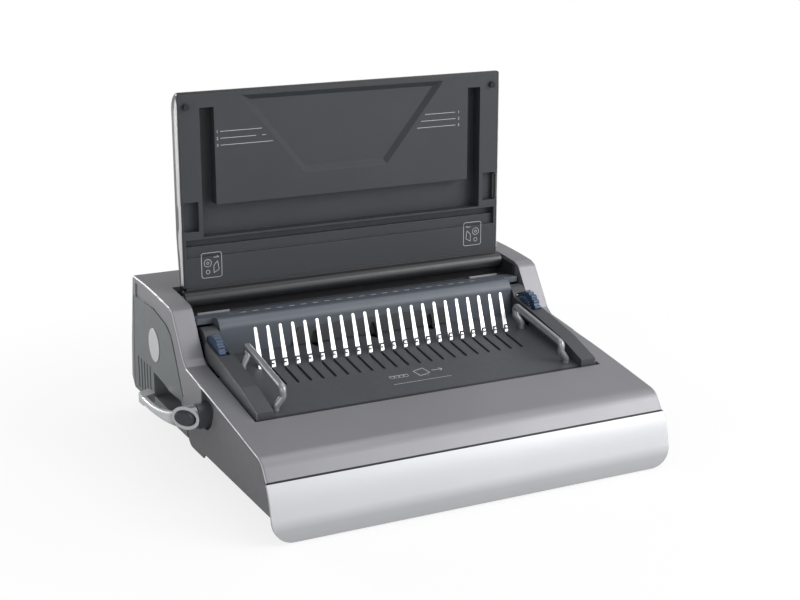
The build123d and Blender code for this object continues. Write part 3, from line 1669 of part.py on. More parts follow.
# Hinge brackets inside the cheeks, each with the pin that the cover turns on
bracket_x = opening_width / 2 + lip_wall
bracket_low_z = hinge_z - 25.0
bracket_outline = [
    (hinge_y - 14.0, bracket_low_z),
    (hinge_y - 14.0, hinge_z + 1.6),
    (hinge_y + 16.0, hinge_z + 3.6),
    (hinge_y + 16.0, bracket_low_z),
]
with BuildPart() as hinge_brackets:
    for side in (-1, 1):
        x0, x1 = sorted((side * bracket_x, side * (bracket_x + 9)))
        prism(x0, x1, bracket_outline)
        x0, x1 = sorted((side * (barrel_width / 2 - 10), side * bracket_x))
        disc(x0, x1, (hinge_y, hinge_z), hinge_pin_r)
save(hinge_brackets, "hinge_brackets")

# Cover barrel: the bar along the cover's foot, bored for the hinge pins
with BuildPart() as cover_barrel:
    disc(-barrel_width / 2, barrel_width / 2, (hinge_y, hinge_z), barrel_r)
    for side in (-1, 1):
        x0, x1 = sorted((side * (barrel_width / 2 - 12), side * barrel_width / 2))
        disc(
            x0,
            x1,
            (hinge_y, hinge_z),
            hinge_pin_r + running_clearance,
            mode=Mode.SUBTRACT,
        )
    block(
        -cover_width / 2 + cover_wall,
        cover_width / 2 - cover_wall,
        lining_y - 1.0,
        lining_y + lining_wall,
        hinge_z + 4,
        lining_low_z,
    )
save(cover_barrel, "cover_barrel")


def cover_face(inset):
    """Side view of the open cover's outer shell, drawn inwards by inset."""
    with BuildSketch(Plane.YZ) as face:
        with BuildLine():
            Polyline(
                (lining_y + 10, hinge_z + 4),
                (lining_y, lining_low_z - 1.5),
                (lining_y, cover_top_z),
            )
            ThreePointArc(
                (lining_y, cover_top_z),
                (lining_y + cover_depth - 5.5, cover_top_z - 6.5),
                (lining_y + cover_depth, cover_top_z - cover_crown_drop),
            )
            Polyline(
                (lining_y + cover_depth, cover_top_z - cover_crown_drop),
                (lining_y + cover_depth, cover_top_z - 160),
                (lining_y + cover_depth - 6, hinge_z + 8),
                (lining_y + 10, hinge_z + 4),
            )
        make_face()
        if inset:
            offset(amount=-inset, kind=Kind.INTERSECTION)
    return face.sketch


# Cover shell: outer skin of the cover, hollow and open towards the lining
with BuildPart() as cover_shell:
    extrude(cover_face(0), amount=cover_width / 2, both=True)
    outer_edges = cover_shell.edges().filter_by(
        lambda e: abs(abs(e.center().X) - cover_width / 2) < 0.01 and e.center().Y > lining_y + 8
    )
    fillet(outer_edges.filter_by(lambda e: e.center().Z > hinge_z + 20), cover_round)
    extrude(cover_face(cover_wall), amount=cover_width / 2 - cover_wall, both=True, mode=Mode.SUBTRACT)
    block(
        -cover_width / 2 + cover_wall,
        cover_width / 2 - cover_wall,
        lining_y - 1,
        lining_y + 4,
        lining_low_z - 12,
        cover_top_z - cover_wall,
        mode=Mode.SUBTRACT,
    )
    for side in (-1, 1):
        x0, x1 = sorted((side * (wheel_x - 3.0), side * (cover_width / 2 + 1)))
        block(
            x0,
            x1,
            lining_y - 1,
            lining_y + wheel_notch_depth,
            wheel_notch_low_z,
            wheel_notch_high_z,
            mode=Mode.SUBTRACT,
        )
save(cover_shell, "cover_shell")

# Cover lining: dark inner moulding with pockets for what stands up from the deck
# Each pocket: its two sides in X, its foot and top in Z, and its depth.
pockets = []
for side in (-1, 1):
    pockets.append((side * 155.5, side * 172.0, 224.0, 366.0, rail_pocket_depth))
    pockets.append((side * 176.5, side * 193.0, 231.0, 264.0, wheel_pocket_depth))
pockets.append((-172.0, 172.0, 224.0, 259.0, tine_pocket_depth))
pockets.append((-193.0, 193.0, 213.5, 222.0, groove_depth))
pockets.append((-193.0, 193.0, 202.0, 214.0, relief_depth))
with BuildPart() as cover_lining:
    lining_half = cover_width / 2 - cover_wall
    lining_top_z = cover_top_z - cover_wall
    block(-lining_half, lining_half, lining_y, lining_y + lining_wall, lining_low_z, lining_top_z)
    for xa, xb, za, zb, depth in pockets:
        xa, xb = sorted((xa, xb))
        block(
            max(xa - pocket_wall, -lining_half),
            min(xb + pocket_wall, lining_half),
            lining_y,
            lining_y + depth + pocket_wall,
            za - pocket_wall,
            zb + pocket_wall,
        )
    for xa, xb, za, zb, depth in pockets:
        xa, xb = sorted((xa, xb))
        block(
            max(xa, -lining_half + pocket_wall),
            min(xb, lining_half - pocket_wall),
            lining_y - 1,
            lining_y + depth,
            za,
            zb,
            mode=Mode.SUBTRACT,
        )
    with BuildSketch(Plane.XZ.offset(-lining_y - bay_rim_height)):
        with BuildLine():
            Polyline((-126, 378.5), (126, 378.5), (50, 284), (-50, 284), close=True)
        make_face()
    extrude(amount=bay_rim_height - lining_wall)
    with BuildSketch(Plane.XZ.offset(-lining_y)):
        with BuildLine():
            Polyline((-124, 376.5), (124, 376.5), (51, 286), (-51, 286), close=True)
        make_face()
    extrude(amount=-bay_depth, taper=bay_taper, mode=Mode.SUBTRACT)
    for side in (-1, 1):
        x0, x1 = sorted((side * (wheel_x - 3.0), side * (cover_width / 2 + 1)))
        block(
            x0,
            x1,
            lining_y - 1,
            lining_y + wheel_notch_depth,
            wheel_notch_low_z,
            wheel_notch_high_z,
            mode=Mode.SUBTRACT,
        )
save(cover_lining, "cover_lining")

# Light trims along the cover's sides
with BuildPart() as cover_trims:
    for side in (-1, 1):
        x0, x1 = sorted((side * cover_width / 2, side * (cover_width / 2 + cover_trim_wall)))
        prism(
            x0,
            x1,
            [
                (lining_y + 0.3, 172.0),
                (lining_y + 0.3, 372.0),
                (lining_y + 3.0, 378.0),
                (lining_y + 9.5, 362.0),
                (lining_y + 9.5, 262.0),
                (lining_y + 6.5, 256.0),
                (lining_y + 6.5, 236.0),
                (lining_y + 10.5, 226.0),
                (lining_y + 10.5, 214.0),
                (lining_y + 7.0, 200.0),
                (lining_y + 6.0, 172.0),
            ],
        )
save(cover_trims, "cover_trims")

# Cover bumpers: they meet the side blocks when the cover is closed
with BuildPart() as cover_bumpers:
    with BuildSketch(Plane.XZ.offset(-lining_y)):
        with Locations((-bumper_x, bumper_z), (bumper_x, bumper_z)):
            Circle(bumper_r)
    extrude(amount=bumper_height)
save(cover_bumpers, "cover_bumpers")

# Punch button on the right-hand side: round cap on a stem
with BuildPart() as punch_button:
    stem_x = half - wall - button_stem_length
    disc(half - button_wall, half + button_proud, (button_y, button_z), button_r)
    disc(stem_x, half - button_wall, (button_y, button_z), button_stem_r)
save(punch_button, "punch_button")
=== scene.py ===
"""Looks of an electric comb binding machine that stands with its cover open.

Metres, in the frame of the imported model: X is the width, +Y runs to the back, +Z is up.
"""

import bpy
import numpy as np
from mathutils import Matrix, Vector


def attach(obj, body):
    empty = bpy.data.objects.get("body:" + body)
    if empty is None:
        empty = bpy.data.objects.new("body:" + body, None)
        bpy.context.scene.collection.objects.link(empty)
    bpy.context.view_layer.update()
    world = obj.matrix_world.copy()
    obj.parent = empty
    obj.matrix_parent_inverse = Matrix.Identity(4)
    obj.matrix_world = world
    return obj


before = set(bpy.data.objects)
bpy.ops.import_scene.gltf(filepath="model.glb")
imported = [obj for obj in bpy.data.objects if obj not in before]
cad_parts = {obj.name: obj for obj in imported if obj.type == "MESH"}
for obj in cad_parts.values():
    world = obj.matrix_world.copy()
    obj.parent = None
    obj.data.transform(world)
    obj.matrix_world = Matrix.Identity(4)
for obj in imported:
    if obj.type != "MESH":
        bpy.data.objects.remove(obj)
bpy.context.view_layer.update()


# Upper shell: one moulding in semi-gloss ABS, sprayed with a silver-grey metallic lacquer.
# The lacquer has fine flakes and a thin clear coat; a painted highlight makes it lighter along its side
# edges.
def shade(code):
    """Linear colour of a hex code: each channel c becomes ((c + 0.055) / 1.055) ** 2.4."""
    parts = np.array([int(code[i:i + 2], 16) / 255 for i in (0, 2, 4)])
    low = parts / 12.92
    high = ((parts + 0.055) / 1.055) ** 2.4
    return tuple(float(v) for v in np.where(parts < 0.04045, low, high)) + (1.0,)


class Value:
    """An output in a material's nodes; operators between outputs and numbers add Math nodes."""

    def __init__(self, finish, socket):
        self.finish = finish
        self.socket = socket

    def math(self, operation, first, second):
        return self.finish.node("ShaderNodeMath", {"operation": operation}, (first, second))

    def __add__(self, other):
        return self.math("ADD", self, other)

    def __sub__(self, other):
        return self.math("SUBTRACT", self, other)

    def __rsub__(self, other):
        return self.math("SUBTRACT", other, self)

    def __mul__(self, other):
        return self.math("MULTIPLY", self, other)

    def __truediv__(self, other):
        return self.math("DIVIDE", self, other)

    def __pow__(self, other):
        return self.math("POWER", self, other)

    def __abs__(self):
        return self.math("ABSOLUTE", self, 0.0)

    __radd__ = __add__
    __rmul__ = __mul__

    def limit(self):
        """The value held between 0 and 1."""
        return self.math("MINIMUM", self.math("MAXIMUM", self, 0.0), 1.0)


class Finish:
    """A material for one kind of surface, with its node expressions."""

    def __init__(self, name, **constants):
        self.material = bpy.data.materials.new(name)
        self.material.use_nodes = True
        self.nodes = self.material.node_tree.nodes
        self.links = self.material.node_tree.links
        self.surface = self.nodes["Principled BSDF"]
        for key, value in constants.items():
            self.surface.inputs[key.replace("_", " ")].default_value = value
        self.place = self.node("ShaderNodeTexCoord", output="Object")

    def node(self, kind, settings=None, inputs=(), output=0):
        """Adds one node: its settings first, then the values or links of its sockets."""
        made = self.nodes.new(kind)
        for key, value in (settings or {}).items():
            setattr(made, key, value)
        pairs = inputs.items() if isinstance(inputs, dict) else enumerate(inputs)
        for key, value in pairs:
            if isinstance(value, Value):
                self.links.new(value.socket, made.inputs[key])
            else:
                made.inputs[key].default_value = value
        return Value(self, made.outputs[output])

    def feed(self, **values):
        """Links values to the surface's own sockets."""
        for key, value in values.items():
            self.links.new(value.socket, self.surface.inputs[key.replace("_", " ")])

    def noise(self, scale, stretch=(1, 1, 1), detail=3.0):
        """Noise from about 0 to 1 over the piece, with cells of 1 / scale metres."""
        spot = self.node("ShaderNodeMapping", None, {"Vector": self.place, "Scale": stretch})
        return self.node("ShaderNodeTexNoise", None, {"Vector": spot, "Scale": scale, "Detail": detail})

    def cells(self, scale):
        """Distance to the nearest of scattered points, for leather-like or cast grain."""
        return self.node("ShaderNodeTexVoronoi", None, {"Vector": self.place, "Scale": scale})

    def mix(self, share, first, second):
        """A colour between two others."""
        return self.node(
            "ShaderNodeMix", {"data_type": "RGBA"}, {0: share, 6: first, 7: second}, output=2
        )

    def axis(self, index):
        """One coordinate of the place on the piece, in metres."""
        return self.node("ShaderNodeSeparateXYZ", None, (self.place,), output=index)

    def rounded(self, radius):
        """Normal with edges rounded to the radius."""
        return self.node("ShaderNodeBevel", {"samples": 6}, {"Radius": radius})

    def edges(self, radius, gain):
        """1 on sharp edges and 0 on open faces, from how far the rounded normal leaves the face's."""
        flat = self.node("ShaderNodeNewGeometry", output="Normal")
        alike = self.node(
            "ShaderNodeVectorMath", {"operation": "DOT_PRODUCT"}, (self.rounded(radius), flat), output=1
        )
        return ((1.0 - alike) * gain).limit()

    def turned(self):
        """1 where the surface is turned halfway between a side and another face, 0 on either.

        With n the sideways part of the normal, it is 2 * n * (1 - n * n) ** 0.5, to the ninth power.
        """
        facing = self.node("ShaderNodeTexCoord", output="Normal")
        aside = abs(self.node("ShaderNodeSeparateXYZ", None, (facing,), output=0))
        return (aside * (1.0 - aside * aside).limit() ** 0.5 * 2.0).limit() ** 9.0

    def span(self, index, low, high, soft=0.0002):
        """1 where one coordinate lies between low and high, falling off over soft metres."""
        place = self.axis(index)
        return ((place - low) / soft + 0.5).limit() * ((high - place) / soft + 0.5).limit()

    def box(self, *limits):
        """1 inside a box, from the low and the high end along each of the three axes."""
        along, across, upwards = [self.span(index, *ends) for index, ends in enumerate(limits)]
        return along * across * upwards

    def bump(self, height, depth, radius):
        """Normal of a height map that is depth metres deep, over edges rounded to a radius."""
        inputs = {"Height": height, "Distance": depth, "Strength": 1.0, "Normal": self.rounded(radius)}
        return self.node("ShaderNodeBump", None, inputs)


def dress(finish, *nodes):
    """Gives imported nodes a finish."""
    for name in nodes:
        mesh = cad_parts[name].data
        mesh.materials.clear()
        mesh.materials.append(finish.material)


def metallic_paint(
    name, code, dark_code, roughness=0.36, metal=0.55, edge=0.5, coat=0.35, fade=None, patch=None
):
    """Sprayed metallic lacquer: flakes, slow shade changes, faint wipe marks, a painted highlight on
    edges.

    The edges are those along the two sides. With fade, the colour falls, as painted shade, to that
    share of itself between fade_top and fade_foot. A patch is a function that gives its place, and its
    colour.
    """
    paint = Finish(name, Coat_Roughness=0.3, Specular_IOR_Level=0.5)
    drift = paint.noise(9.0, detail=2.0)
    flake = paint.noise(5200.0, detail=1.0)
    wipe = paint.noise(60.0, stretch=(0.3, 1.0, 1.0), detail=4.0)
    # Painted highlight: the colour turns lighter where the surface turns between a side and another face.
    edge_wear_and_highlight = paint.turned()
    base = paint.mix((drift * 0.5 + flake * 0.5).limit(), shade(dark_code), shade(code))
    if patch:
        where, own_code = patch
        base = paint.mix(where(paint), base, shade(own_code))
    # Painted shade: with fade, the colour darkens downwards from fade_top to fade_foot.
    if fade:
        height = ((paint.axis(2) - fade_foot) / (fade_top - fade_foot)).limit()
        base = paint.mix((1.0 - height) * (1.0 - fade), base, (0.0, 0.0, 0.0, 1.0))
    paint.feed(
        Base_Color=paint.mix(edge_wear_and_highlight * edge, base, shade("e4e5e6")),
        Metallic=flake * 0.2 + (metal - 0.1),
        Roughness=(wipe * 0.10 + (roughness - 0.05) - edge_wear_and_highlight * 0.08).limit(),
        Coat_Weight=wipe * 0.2 + (coat - 0.1),
        Normal=paint.bump(flake, 0.000004, radius=0.0008),
    )
    return paint


def shell_seam_place(finish):
    """1 on the shell's front rim. The dark colour there stands for the shade of the joint."""
    return finish.span(1, joint_front_y, joint_rear_y) * finish.span(2, joint_low_z, shell_rim_z)


joint_front_y, joint_rear_y = -0.2500, -0.1960
joint_low_z, joint_high_z = 0.0500, 0.0700
shell_rim_z = 0.0597
fade_top = 0.025
fade_foot = 0.014
shell_paint = metallic_paint(
    "shell_silver_lacquer",
    "8c8c90",
    "7c7c80",
    roughness=0.46,
    metal=0.4,
    edge=0.8,
    coat=0.1,
    patch=(shell_seam_place, "2a2b2d"),
)
dress(shell_paint, "upper_shell", "rear_cover")


# Side panels: four ABS panels clipped to the base, two on each side.
# They are moulded with a fine spark texture; the rear ones are a lighter grey.
def moulded(
    name,
    code,
    grain=1800.0,
    depth=0.00003,
    roughness=0.5,
    edge=0.25,
    light="9a9b9d",
    gloss=0.5,
    patch=None,
):
    """Textured ABS: a grain of small pits, soft shade changes and slightly polished edges.

    A patch is a function that gives its place, its colour and how metallic it is.
    """
    plastic = Finish(name, Specular_IOR_Level=gloss)
    drift = plastic.noise(14.0, detail=3.0)
    pits = plastic.cells(grain)
    touch = plastic.noise(110.0, detail=4.0)
    edge_wear_and_highlight = plastic.edges(0.0007, 2.0)
    own = np.array(shade(code))
    darker = tuple(float(v) for v in own[:3] * 0.88) + (1.0,)
    lighter = tuple(float(v) for v in own[:3] * 1.10) + (1.0,)
    base = plastic.mix(drift, darker, lighter)
    if patch:
        where, own_code, metal = patch
        spot = where(plastic)
        base = plastic.mix(spot, base, shade(own_code))
        plastic.feed(Metallic=spot * metal)
    plastic.feed(
        Base_Color=plastic.mix(edge_wear_and_highlight * edge, base, shade(light)),
        Roughness=(touch * 0.16 + (roughness - 0.08) - edge_wear_and_highlight * 0.1).limit(),
        Normal=plastic.bump(pits, depth, radius=0.0006),
    )
    return plastic


front_panel_skin = moulded("front_panel_texture", "646468", edge=0.5)
rear_panel_skin = moulded("rear_panel_texture", "6f7475", edge=0.4)
dress(front_panel_skin, "left_front_panel", "right_front_panel")
dress(rear_panel_skin, "left_rear_panel", "right_rear_panel", "finger_pan")

# Oval inlays: domed ABS badges pressed into the rear panels, in bare light silver.
inlay_paint = metallic_paint("oval_light_silver", "cfd0d2", "c3c4c7", roughness=0.3, metal=0.3)
dress(inlay_paint, "oval_inlays")

# Rear fittings: black glass-filled nylon inlet and switch frame, with a glossy rocker.
# The inlet's three prongs are tinned brass.
def prong_place(finish):
    """1 on the prongs: inside the shroud, behind its floor."""
    return finish.box(prong_x, prong_y, prong_z)


prong_x = (-0.1585, -0.1415)
prong_y = (0.1985, 0.2130)
prong_z = (0.0555, 0.0655)
fitting_skin = moulded(
    "inlet_black_nylon", "1d1d1f", grain=2600.0, roughness=0.42, patch=(prong_place, "c4c4c2", 1.0)
)
rocker_skin = moulded("rocker_gloss_black", "141416", grain=9000.0, depth=0.000004, roughness=0.18)
dress(fitting_skin, "mains_inlet", "rocker_frame")
dress(rocker_skin, "power_rocker")

# Base: dark ABS tub on four rubber feet, held by steel screws.
base_skin = moulded("base_dark_texture", "46484c", grain=1500.0, depth=0.00004)
foot_skin = moulded("foot_rubber", "1b1b1c", grain=3500.0, roughness=0.75, edge=0.1)
dress(base_skin, "base_tray")
dress(foot_skin, "rubber_feet")


def plain_steel(
    name, code, roughness=0.3, scratch=900.0, stretch=(1.0, 0.05, 1.0), tint="8a8a88"
):
    """Worked steel: long scratches along one way, a few darker stains, brighter edges."""
    steel = Finish(name, Metallic=1.0)
    lines = steel.noise(scratch, stretch=stretch, detail=4.0)
    stain = steel.noise(35.0, detail=4.0)
    edge_wear_and_highlight = steel.edges(0.0005, 1.5)
    base = steel.mix((stain * 0.5 + lines * 0.3).limit(), shade(code), shade(tint))
    steel.feed(
        Base_Color=steel.mix(edge_wear_and_highlight * 0.3, base, shade("f2f2f2")),
        Roughness=(lines * 0.2 + (roughness - 0.1)).limit(),
        Normal=steel.bump(lines, 0.00001, radius=0.0005),
    )
    return steel


def strip_steel(name, code, tint, roughness, metal=1.0):
    """Thin stamped strip, tumbled smooth: only slow changes of shade and gloss."""
    strip = Finish(name, Metallic=metal)
    haze = strip.noise(260.0, detail=3.0)
    strip.feed(
        Base_Color=strip.mix(haze, shade(code), shade(tint)),
        Roughness=(haze * 0.1 + (roughness - 0.05)).limit(),
    )
    return strip


zinc = plain_steel("zinc_plated_steel", "c9cac6", roughness=0.34)
dress(zinc, "foot_screws", "left_frame", "right_frame", "hinge_brackets", "drive_motor")

# Waste drawer: dark ABS tray with a front that is sprayed in bright metallic silver.
# The front's lower part is coloured darker, to stand for the shade below its crease.
def drawer_seam_place(finish):
    """1 on the front's upper rim. The dark colour there stands for the shade of the joint."""
    return finish.span(2, drawer_rim_z, joint_high_z)


drawer_rim_z = 0.0579
tray_skin = moulded("drawer_dark_texture", "3d3f43", grain=1500.0)
front_paint = metallic_paint(
    "drawer_bright_lacquer",
    "bfc0c3",
    "b6b7ba",
    roughness=0.42,
    metal=0.25,
    coat=0.1,
    fade=0.72,
    patch=(drawer_seam_place, "2a2b2d"),
)
dress(tray_skin, "drawer_tray")
dress(front_paint, "drawer_front")

# Comb deck: charcoal ABS plate between the side blocks, with a fine matt texture.
# Its front edge is bevelled off, and coloured dark to stand for the shade of the shell's lip.
def deck_front_place(finish):
    """1 along the deck's front edge."""
    return finish.span(1, deck_front_y, deck_bevel_y, soft=0.0006)


deck_front_y, deck_bevel_y = -0.1200, -0.1083
deck_skin = moulded(
    "deck_charcoal_texture",
    "414449",
    grain=1600.0,
    depth=0.000025,
    roughness=0.45,
    patch=(deck_front_place, "1c1d20", 0.0),
)
dress(deck_skin, "deck_plate")

# Guide rails: steel rods bent at four corners and painted satin silver.
rail_paint = metallic_paint("rail_satin_silver", "9a9da0", "8f9295", roughness=0.34, metal=0.5, edge=0.0)
dress(rail_paint, "left_guide_rail", "right_guide_rail")

# Side blocks: charcoal ABS blocks with silver outer trims, screwed down beside the deck.
block_skin = moulded("block_charcoal_texture", "3d3f43", grain=1600.0, roughness=0.48)
trim_paint = metallic_paint("block_silver_lacquer", "747678", "6a6c6e", roughness=0.36, metal=0.4)
dress(block_skin, "left_side_block", "right_side_block")
dress(trim_paint, "block_trims")

# Edge guide wheels: ribbed slate-blue ABS thumb wheels, geared to a steel spindle.
# The stops that they move are bent from bright zinc-plated sheet.
wheel_skin = moulded("wheel_slate_blue", "384962", grain=2200.0, roughness=0.4, light="7f90a6")
stop_steel = strip_steel("bright_plated_sheet", "dcdde0", "cdced2", roughness=0.34, metal=0.7)
dress(wheel_skin, "left_guide_wheel", "right_guide_wheel")
dress(zinc, "guide_screw")
dress(stop_steel, "left_edge_guide", "right_edge_guide")

# Punch housing: blue-grey ABS hood over the die, with a dark raised panel on its front.
# The hood is coloured black behind the panel's scoops, to stand for the shade in them.
def scoop_place(finish):
    """1 on the part of the hood's front that the panel stands before."""
    return finish.box(scoop_x, scoop_y, scoop_z)


scoop_x = (-0.085, 0.085)
scoop_y = (0.0380, 0.0402)
scoop_z = (0.1000, 0.1240)
housing_skin = moulded(
    "housing_blue_grey",
    "565c65",
    grain=1700.0,
    roughness=0.42,
    edge=0.08,
    patch=(scoop_place, "141517", 0.0),
)
panel_skin = moulded("housing_panel_grey", "47484b", grain=1700.0, roughness=0.44)
liner_skin = moulded("throat_black_texture", "26272a", grain=1700.0, roughness=0.55)
dress(housing_skin, "punch_housing")
dress(panel_skin, "housing_panel")
dress(liner_skin, "throat_liner", "carriage_rails")

# Tines and hooks: stamped stainless strip, the tines polished; the hooks are coloured a darker, duller
# grey as painted shade.
tine_steel = strip_steel("polished_stainless", "f2f2f2", "dfdfdf", roughness=0.33)
hook_shaded_steel = strip_steel("hooks_painted_shade_steel", "66686b", "55575a", roughness=0.5, metal=0.3)
dress(tine_steel, "tine_plate", "punch_pins")
dress(hook_shaded_steel, "hook_plate")

# Hook carriage drive: nylon racks and pinions on a ground steel shaft in bronze bushes.
nylon = moulded("natural_nylon", "d8d6cc", grain=3000.0, depth=0.00001, roughness=0.4, light="f4f3ee")
ground_steel = plain_steel("ground_tool_steel", "a9aaac", roughness=0.32, tint="7d7d7c")
bronze = plain_steel("sintered_bronze", "b58a52", roughness=0.45, tint="8e6a3c")
dress(nylon, "carriage_racks", "lever_pinions")
dress(ground_steel, "lever_shaft")
dress(bronze, "shaft_bushes", "motor_pinion")

# Comb lever: die-cast arm painted light silver, with a dark glossy cap on its hub.
# It turns in a grey collar in the side panel. The hub is coloured darker than the arm, as painted shade.
def hub_place(finish):
    """1 on the hub, where shade is painted, falling off along the first stretch of the arm."""
    return ((hub_end_y - finish.axis(1)) / hub_fall + 0.5).limit()


hub_end_y = -0.004
hub_fall = 0.02
lever_paint = metallic_paint(
    "lever_light_silver", "d0d1d3", "c4c5c7", roughness=0.3, metal=0.45, patch=(hub_place, "85878a")
)
cap_skin = moulded("lever_cap_gloss", "2c3036", grain=9000.0, depth=0.000002, roughness=0.1, edge=0.0)
collar_skin = moulded("lever_collar_grey", "4a4c50", grain=2400.0, roughness=0.4)
dress(lever_paint, "comb_lever")
dress(cap_skin, "lever_dome")
dress(collar_skin, "lever_boss")

# Punch drive: ground steel die, bar and camshaft, nylon gears.
dress(ground_steel, "front_die", "rear_die", "punch_bar", "camshaft")
dress(nylon, "cam_gear", "idler_gear")

# Control board: glass-epoxy board with green solder mask.
board_skin = moulded("board_green_mask", "1f5a33", grain=900.0, depth=0.00002, roughness=0.3)
dress(board_skin, "control_board")

# Cover: black ABS shell with a charcoal lining, hinged on a barrel along its foot.
cover_skin = moulded("cover_black_gloss", "1c1d1f", grain=4000.0, depth=0.000006, roughness=0.22)
lining_skin = moulded("lining_charcoal_texture", "383b3f", grain=1500.0, roughness=0.5, gloss=0.3)
barrel_skin = moulded("barrel_black_satin", "232427", grain=2400.0, depth=0.00001, roughness=0.34)
dress(cover_skin, "cover_shell")
dress(lining_skin, "cover_lining")
dress(barrel_skin, "cover_barrel")
dress(foot_skin, "cover_bumpers")
dress(inlay_paint, "cover_trims")

# Punch button: glossy grey ABS cap.
button_skin = moulded("button_gloss_grey", "85878a", grain=9000.0, depth=0.000003, roughness=0.2)
dress(button_skin, "punch_button")

# Printed marks: light grey pad print on the lining, the deck and the housing's top.
# Each mark is a flat mesh just off its face, and its figures and pictures are generic.
# Here a mark's own place (u, v) is in millimetres, with u along the width.
mark_gap = 0.06
lining_face_y = 104.0
deck_height, deck_slope = 103.1, 0.145
ridge_y, ridge_z, ridge_fall = 45.5, 148.0, 4.8 / 38.5
stroke = 0.55
dash_pitch = 14.2875
dash_count = 21


def on_lining(u, v):
    """Place in the open cover's lining, v upwards."""
    return np.stack([u, np.full_like(u, lining_face_y - mark_gap), v], 1) / 1000


def on_deck(u, v):
    """Place on the deck, v towards the back: the height is deck_height + deck_slope * v."""
    return np.stack([u, v, deck_height + deck_slope * v + mark_gap], 1) / 1000


def on_housing(u, v):
    """Place on the housing's top, v towards the back: the height falls evenly from the ridge."""
    return np.stack([u, v, ridge_z - ridge_fall * (v - ridge_y) + mark_gap], 1) / 1000


def ring(u, v, radius, start=0, turn=360, count=16):
    """Strokes along an arc, one to each equal step of the angle."""
    angles = np.radians(np.linspace(start, start + turn, count + 1))
    rim = np.stack([u + radius * np.cos(angles), v + radius * np.sin(angles)], 1)
    return np.hstack([rim[:-1], rim[1:], np.full((count, 1), stroke)])


def chain(*points, width=stroke):
    """Strokes from each point to the next."""
    line = np.array(points, float)
    return np.hstack([line[:-1], line[1:], np.full((len(line) - 1, 1), width)])


def marks(name, body, place, *groups):
    """One flat mesh from strokes (u0, v0, u1, v1, width).

    A stroke's four corners lie half its width to either side of its two ends.
    """
    lines = np.vstack(groups)
    start, end, width = lines[:, 0:2], lines[:, 2:4], lines[:, 4:5]
    along = (end - start) / np.linalg.norm(end - start, axis=1, keepdims=True)
    aside = np.stack([-along[:, 1], along[:, 0]], 1) * width / 2
    corners = np.stack([start - aside, end - aside, end + aside, start + aside], 1).reshape(-1, 2)
    faces = np.arange(len(corners)).reshape(-1, 4)
    mesh = bpy.data.meshes.new(name)
    mesh.from_pydata(place(corners[:, 0], corners[:, 1]).tolist(), [], faces.tolist())
    mesh.materials.append(print_ink.material)
    piece = bpy.data.objects.new(name, mesh)
    bpy.context.scene.collection.objects.link(piece)
    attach(piece, body)


def figures(name, body, place, text, u, v, height):
    """Plain figures as one flat mesh, with their lower left corner at (u, v)."""
    curve = bpy.data.curves.new(name, "FONT")
    curve.body = text
    curve.size = height
    curve.resolution_u = 3
    source = bpy.data.objects.new(name + "_source", curve)
    mesh = bpy.data.meshes.new_from_object(source)
    mesh.name = name
    bpy.data.objects.remove(source)
    spots = np.empty(len(mesh.vertices) * 3)
    mesh.vertices.foreach_get("co", spots)
    spots = spots.reshape(-1, 3)
    mesh.vertices.foreach_set("co", place(u + spots[:, 0], v + spots[:, 1]).ravel())
    mesh.materials.clear()
    mesh.materials.append(print_ink.material)
    piece = bpy.data.objects.new(name, mesh)
    bpy.context.scene.collection.objects.link(piece)
    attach(piece, body)


print_ink = Finish("pad_print_grey", Specular_IOR_Level=0.3)
fleck = print_ink.noise(1400.0, detail=3.0)
print_ink.feed(
    Base_Color=print_ink.mix(fleck, shade("a9acb0"), shade("c9ccd0")),
    Roughness=fleck * 0.2 + 0.45,
)

rows = (339.0, 331.5, 324.0)
size_lines = [chain((-149.0, rows[0]), (-100.6, rows[0])), chain((99.8, rows[0]), (138.9, rows[0]))]
size_lines += [chain((-149.0, rows[1]), (-107.8, rows[1])), chain((-100.8, rows[1]), (-96.0, rows[1]))]
size_lines += [chain((94.7, rows[1]), (139.5, rows[1])), chain((-149.0, rows[2]), (-88.0, rows[2]))]
size_lines += [chain((90.0, rows[2]), (139.5, rows[2]))]
marks("lining_size_lines", "cover", on_lining, *size_lines)
for number, row in enumerate(rows, 1):
    figures(f"lining_left_figure_{number}", "cover", on_lining, str(number), -153.5, row - 1.6, 4.6)
    figures(f"lining_right_figure_{number}", "cover", on_lining, str(number), 142.5, row - 1.6, 4.6)


def picture_box(name, centre, mirror):
    """Rounded frame with a round knob, a sheet and a bent arrow in it."""
    low, high, half_width, round_r = 178.0, 206.0, 11.7, 2.5
    inner = half_width - round_r
    sides = [chain((centre - inner, low), (centre + inner, low))]
    sides += [chain((centre - inner, high), (centre + inner, high))]
    for side, first, second in ((-1, 180, 90), (1, 270, 0)):
        edge = centre + side * half_width
        sides += [chain((edge, low + round_r), (edge, high - round_r))]
        sides += [ring(centre + side * inner, low + round_r, round_r, first, 90, 4)]
        sides += [ring(centre + side * inner, high - round_r, round_r, second, 90, 4)]
    knob = centre - mirror * 4.5
    sheet = centre + mirror * 2.5
    tip = centre + mirror * 8.5
    sides += [ring(knob, 194.5, 4.2), ring(knob, 194.5, 1.4, count=8), ring(knob, 184.5, 2.2, count=10)]
    corner = (tip - mirror * 1.5, 196.0)
    sides += [chain((sheet, 183.0), (tip, 186.5), corner, (sheet, 191.5), (sheet, 183.0))]
    sides += [chain((sheet, 200.5), (tip, 200.5)), chain((tip - mirror * 2, 202.2), (tip, 200.5))]
    marks(name, "cover", on_lining, *sides)


picture_box("lining_left_picture", -163.7, 1)
picture_box("lining_right_picture", 163.7, -1)

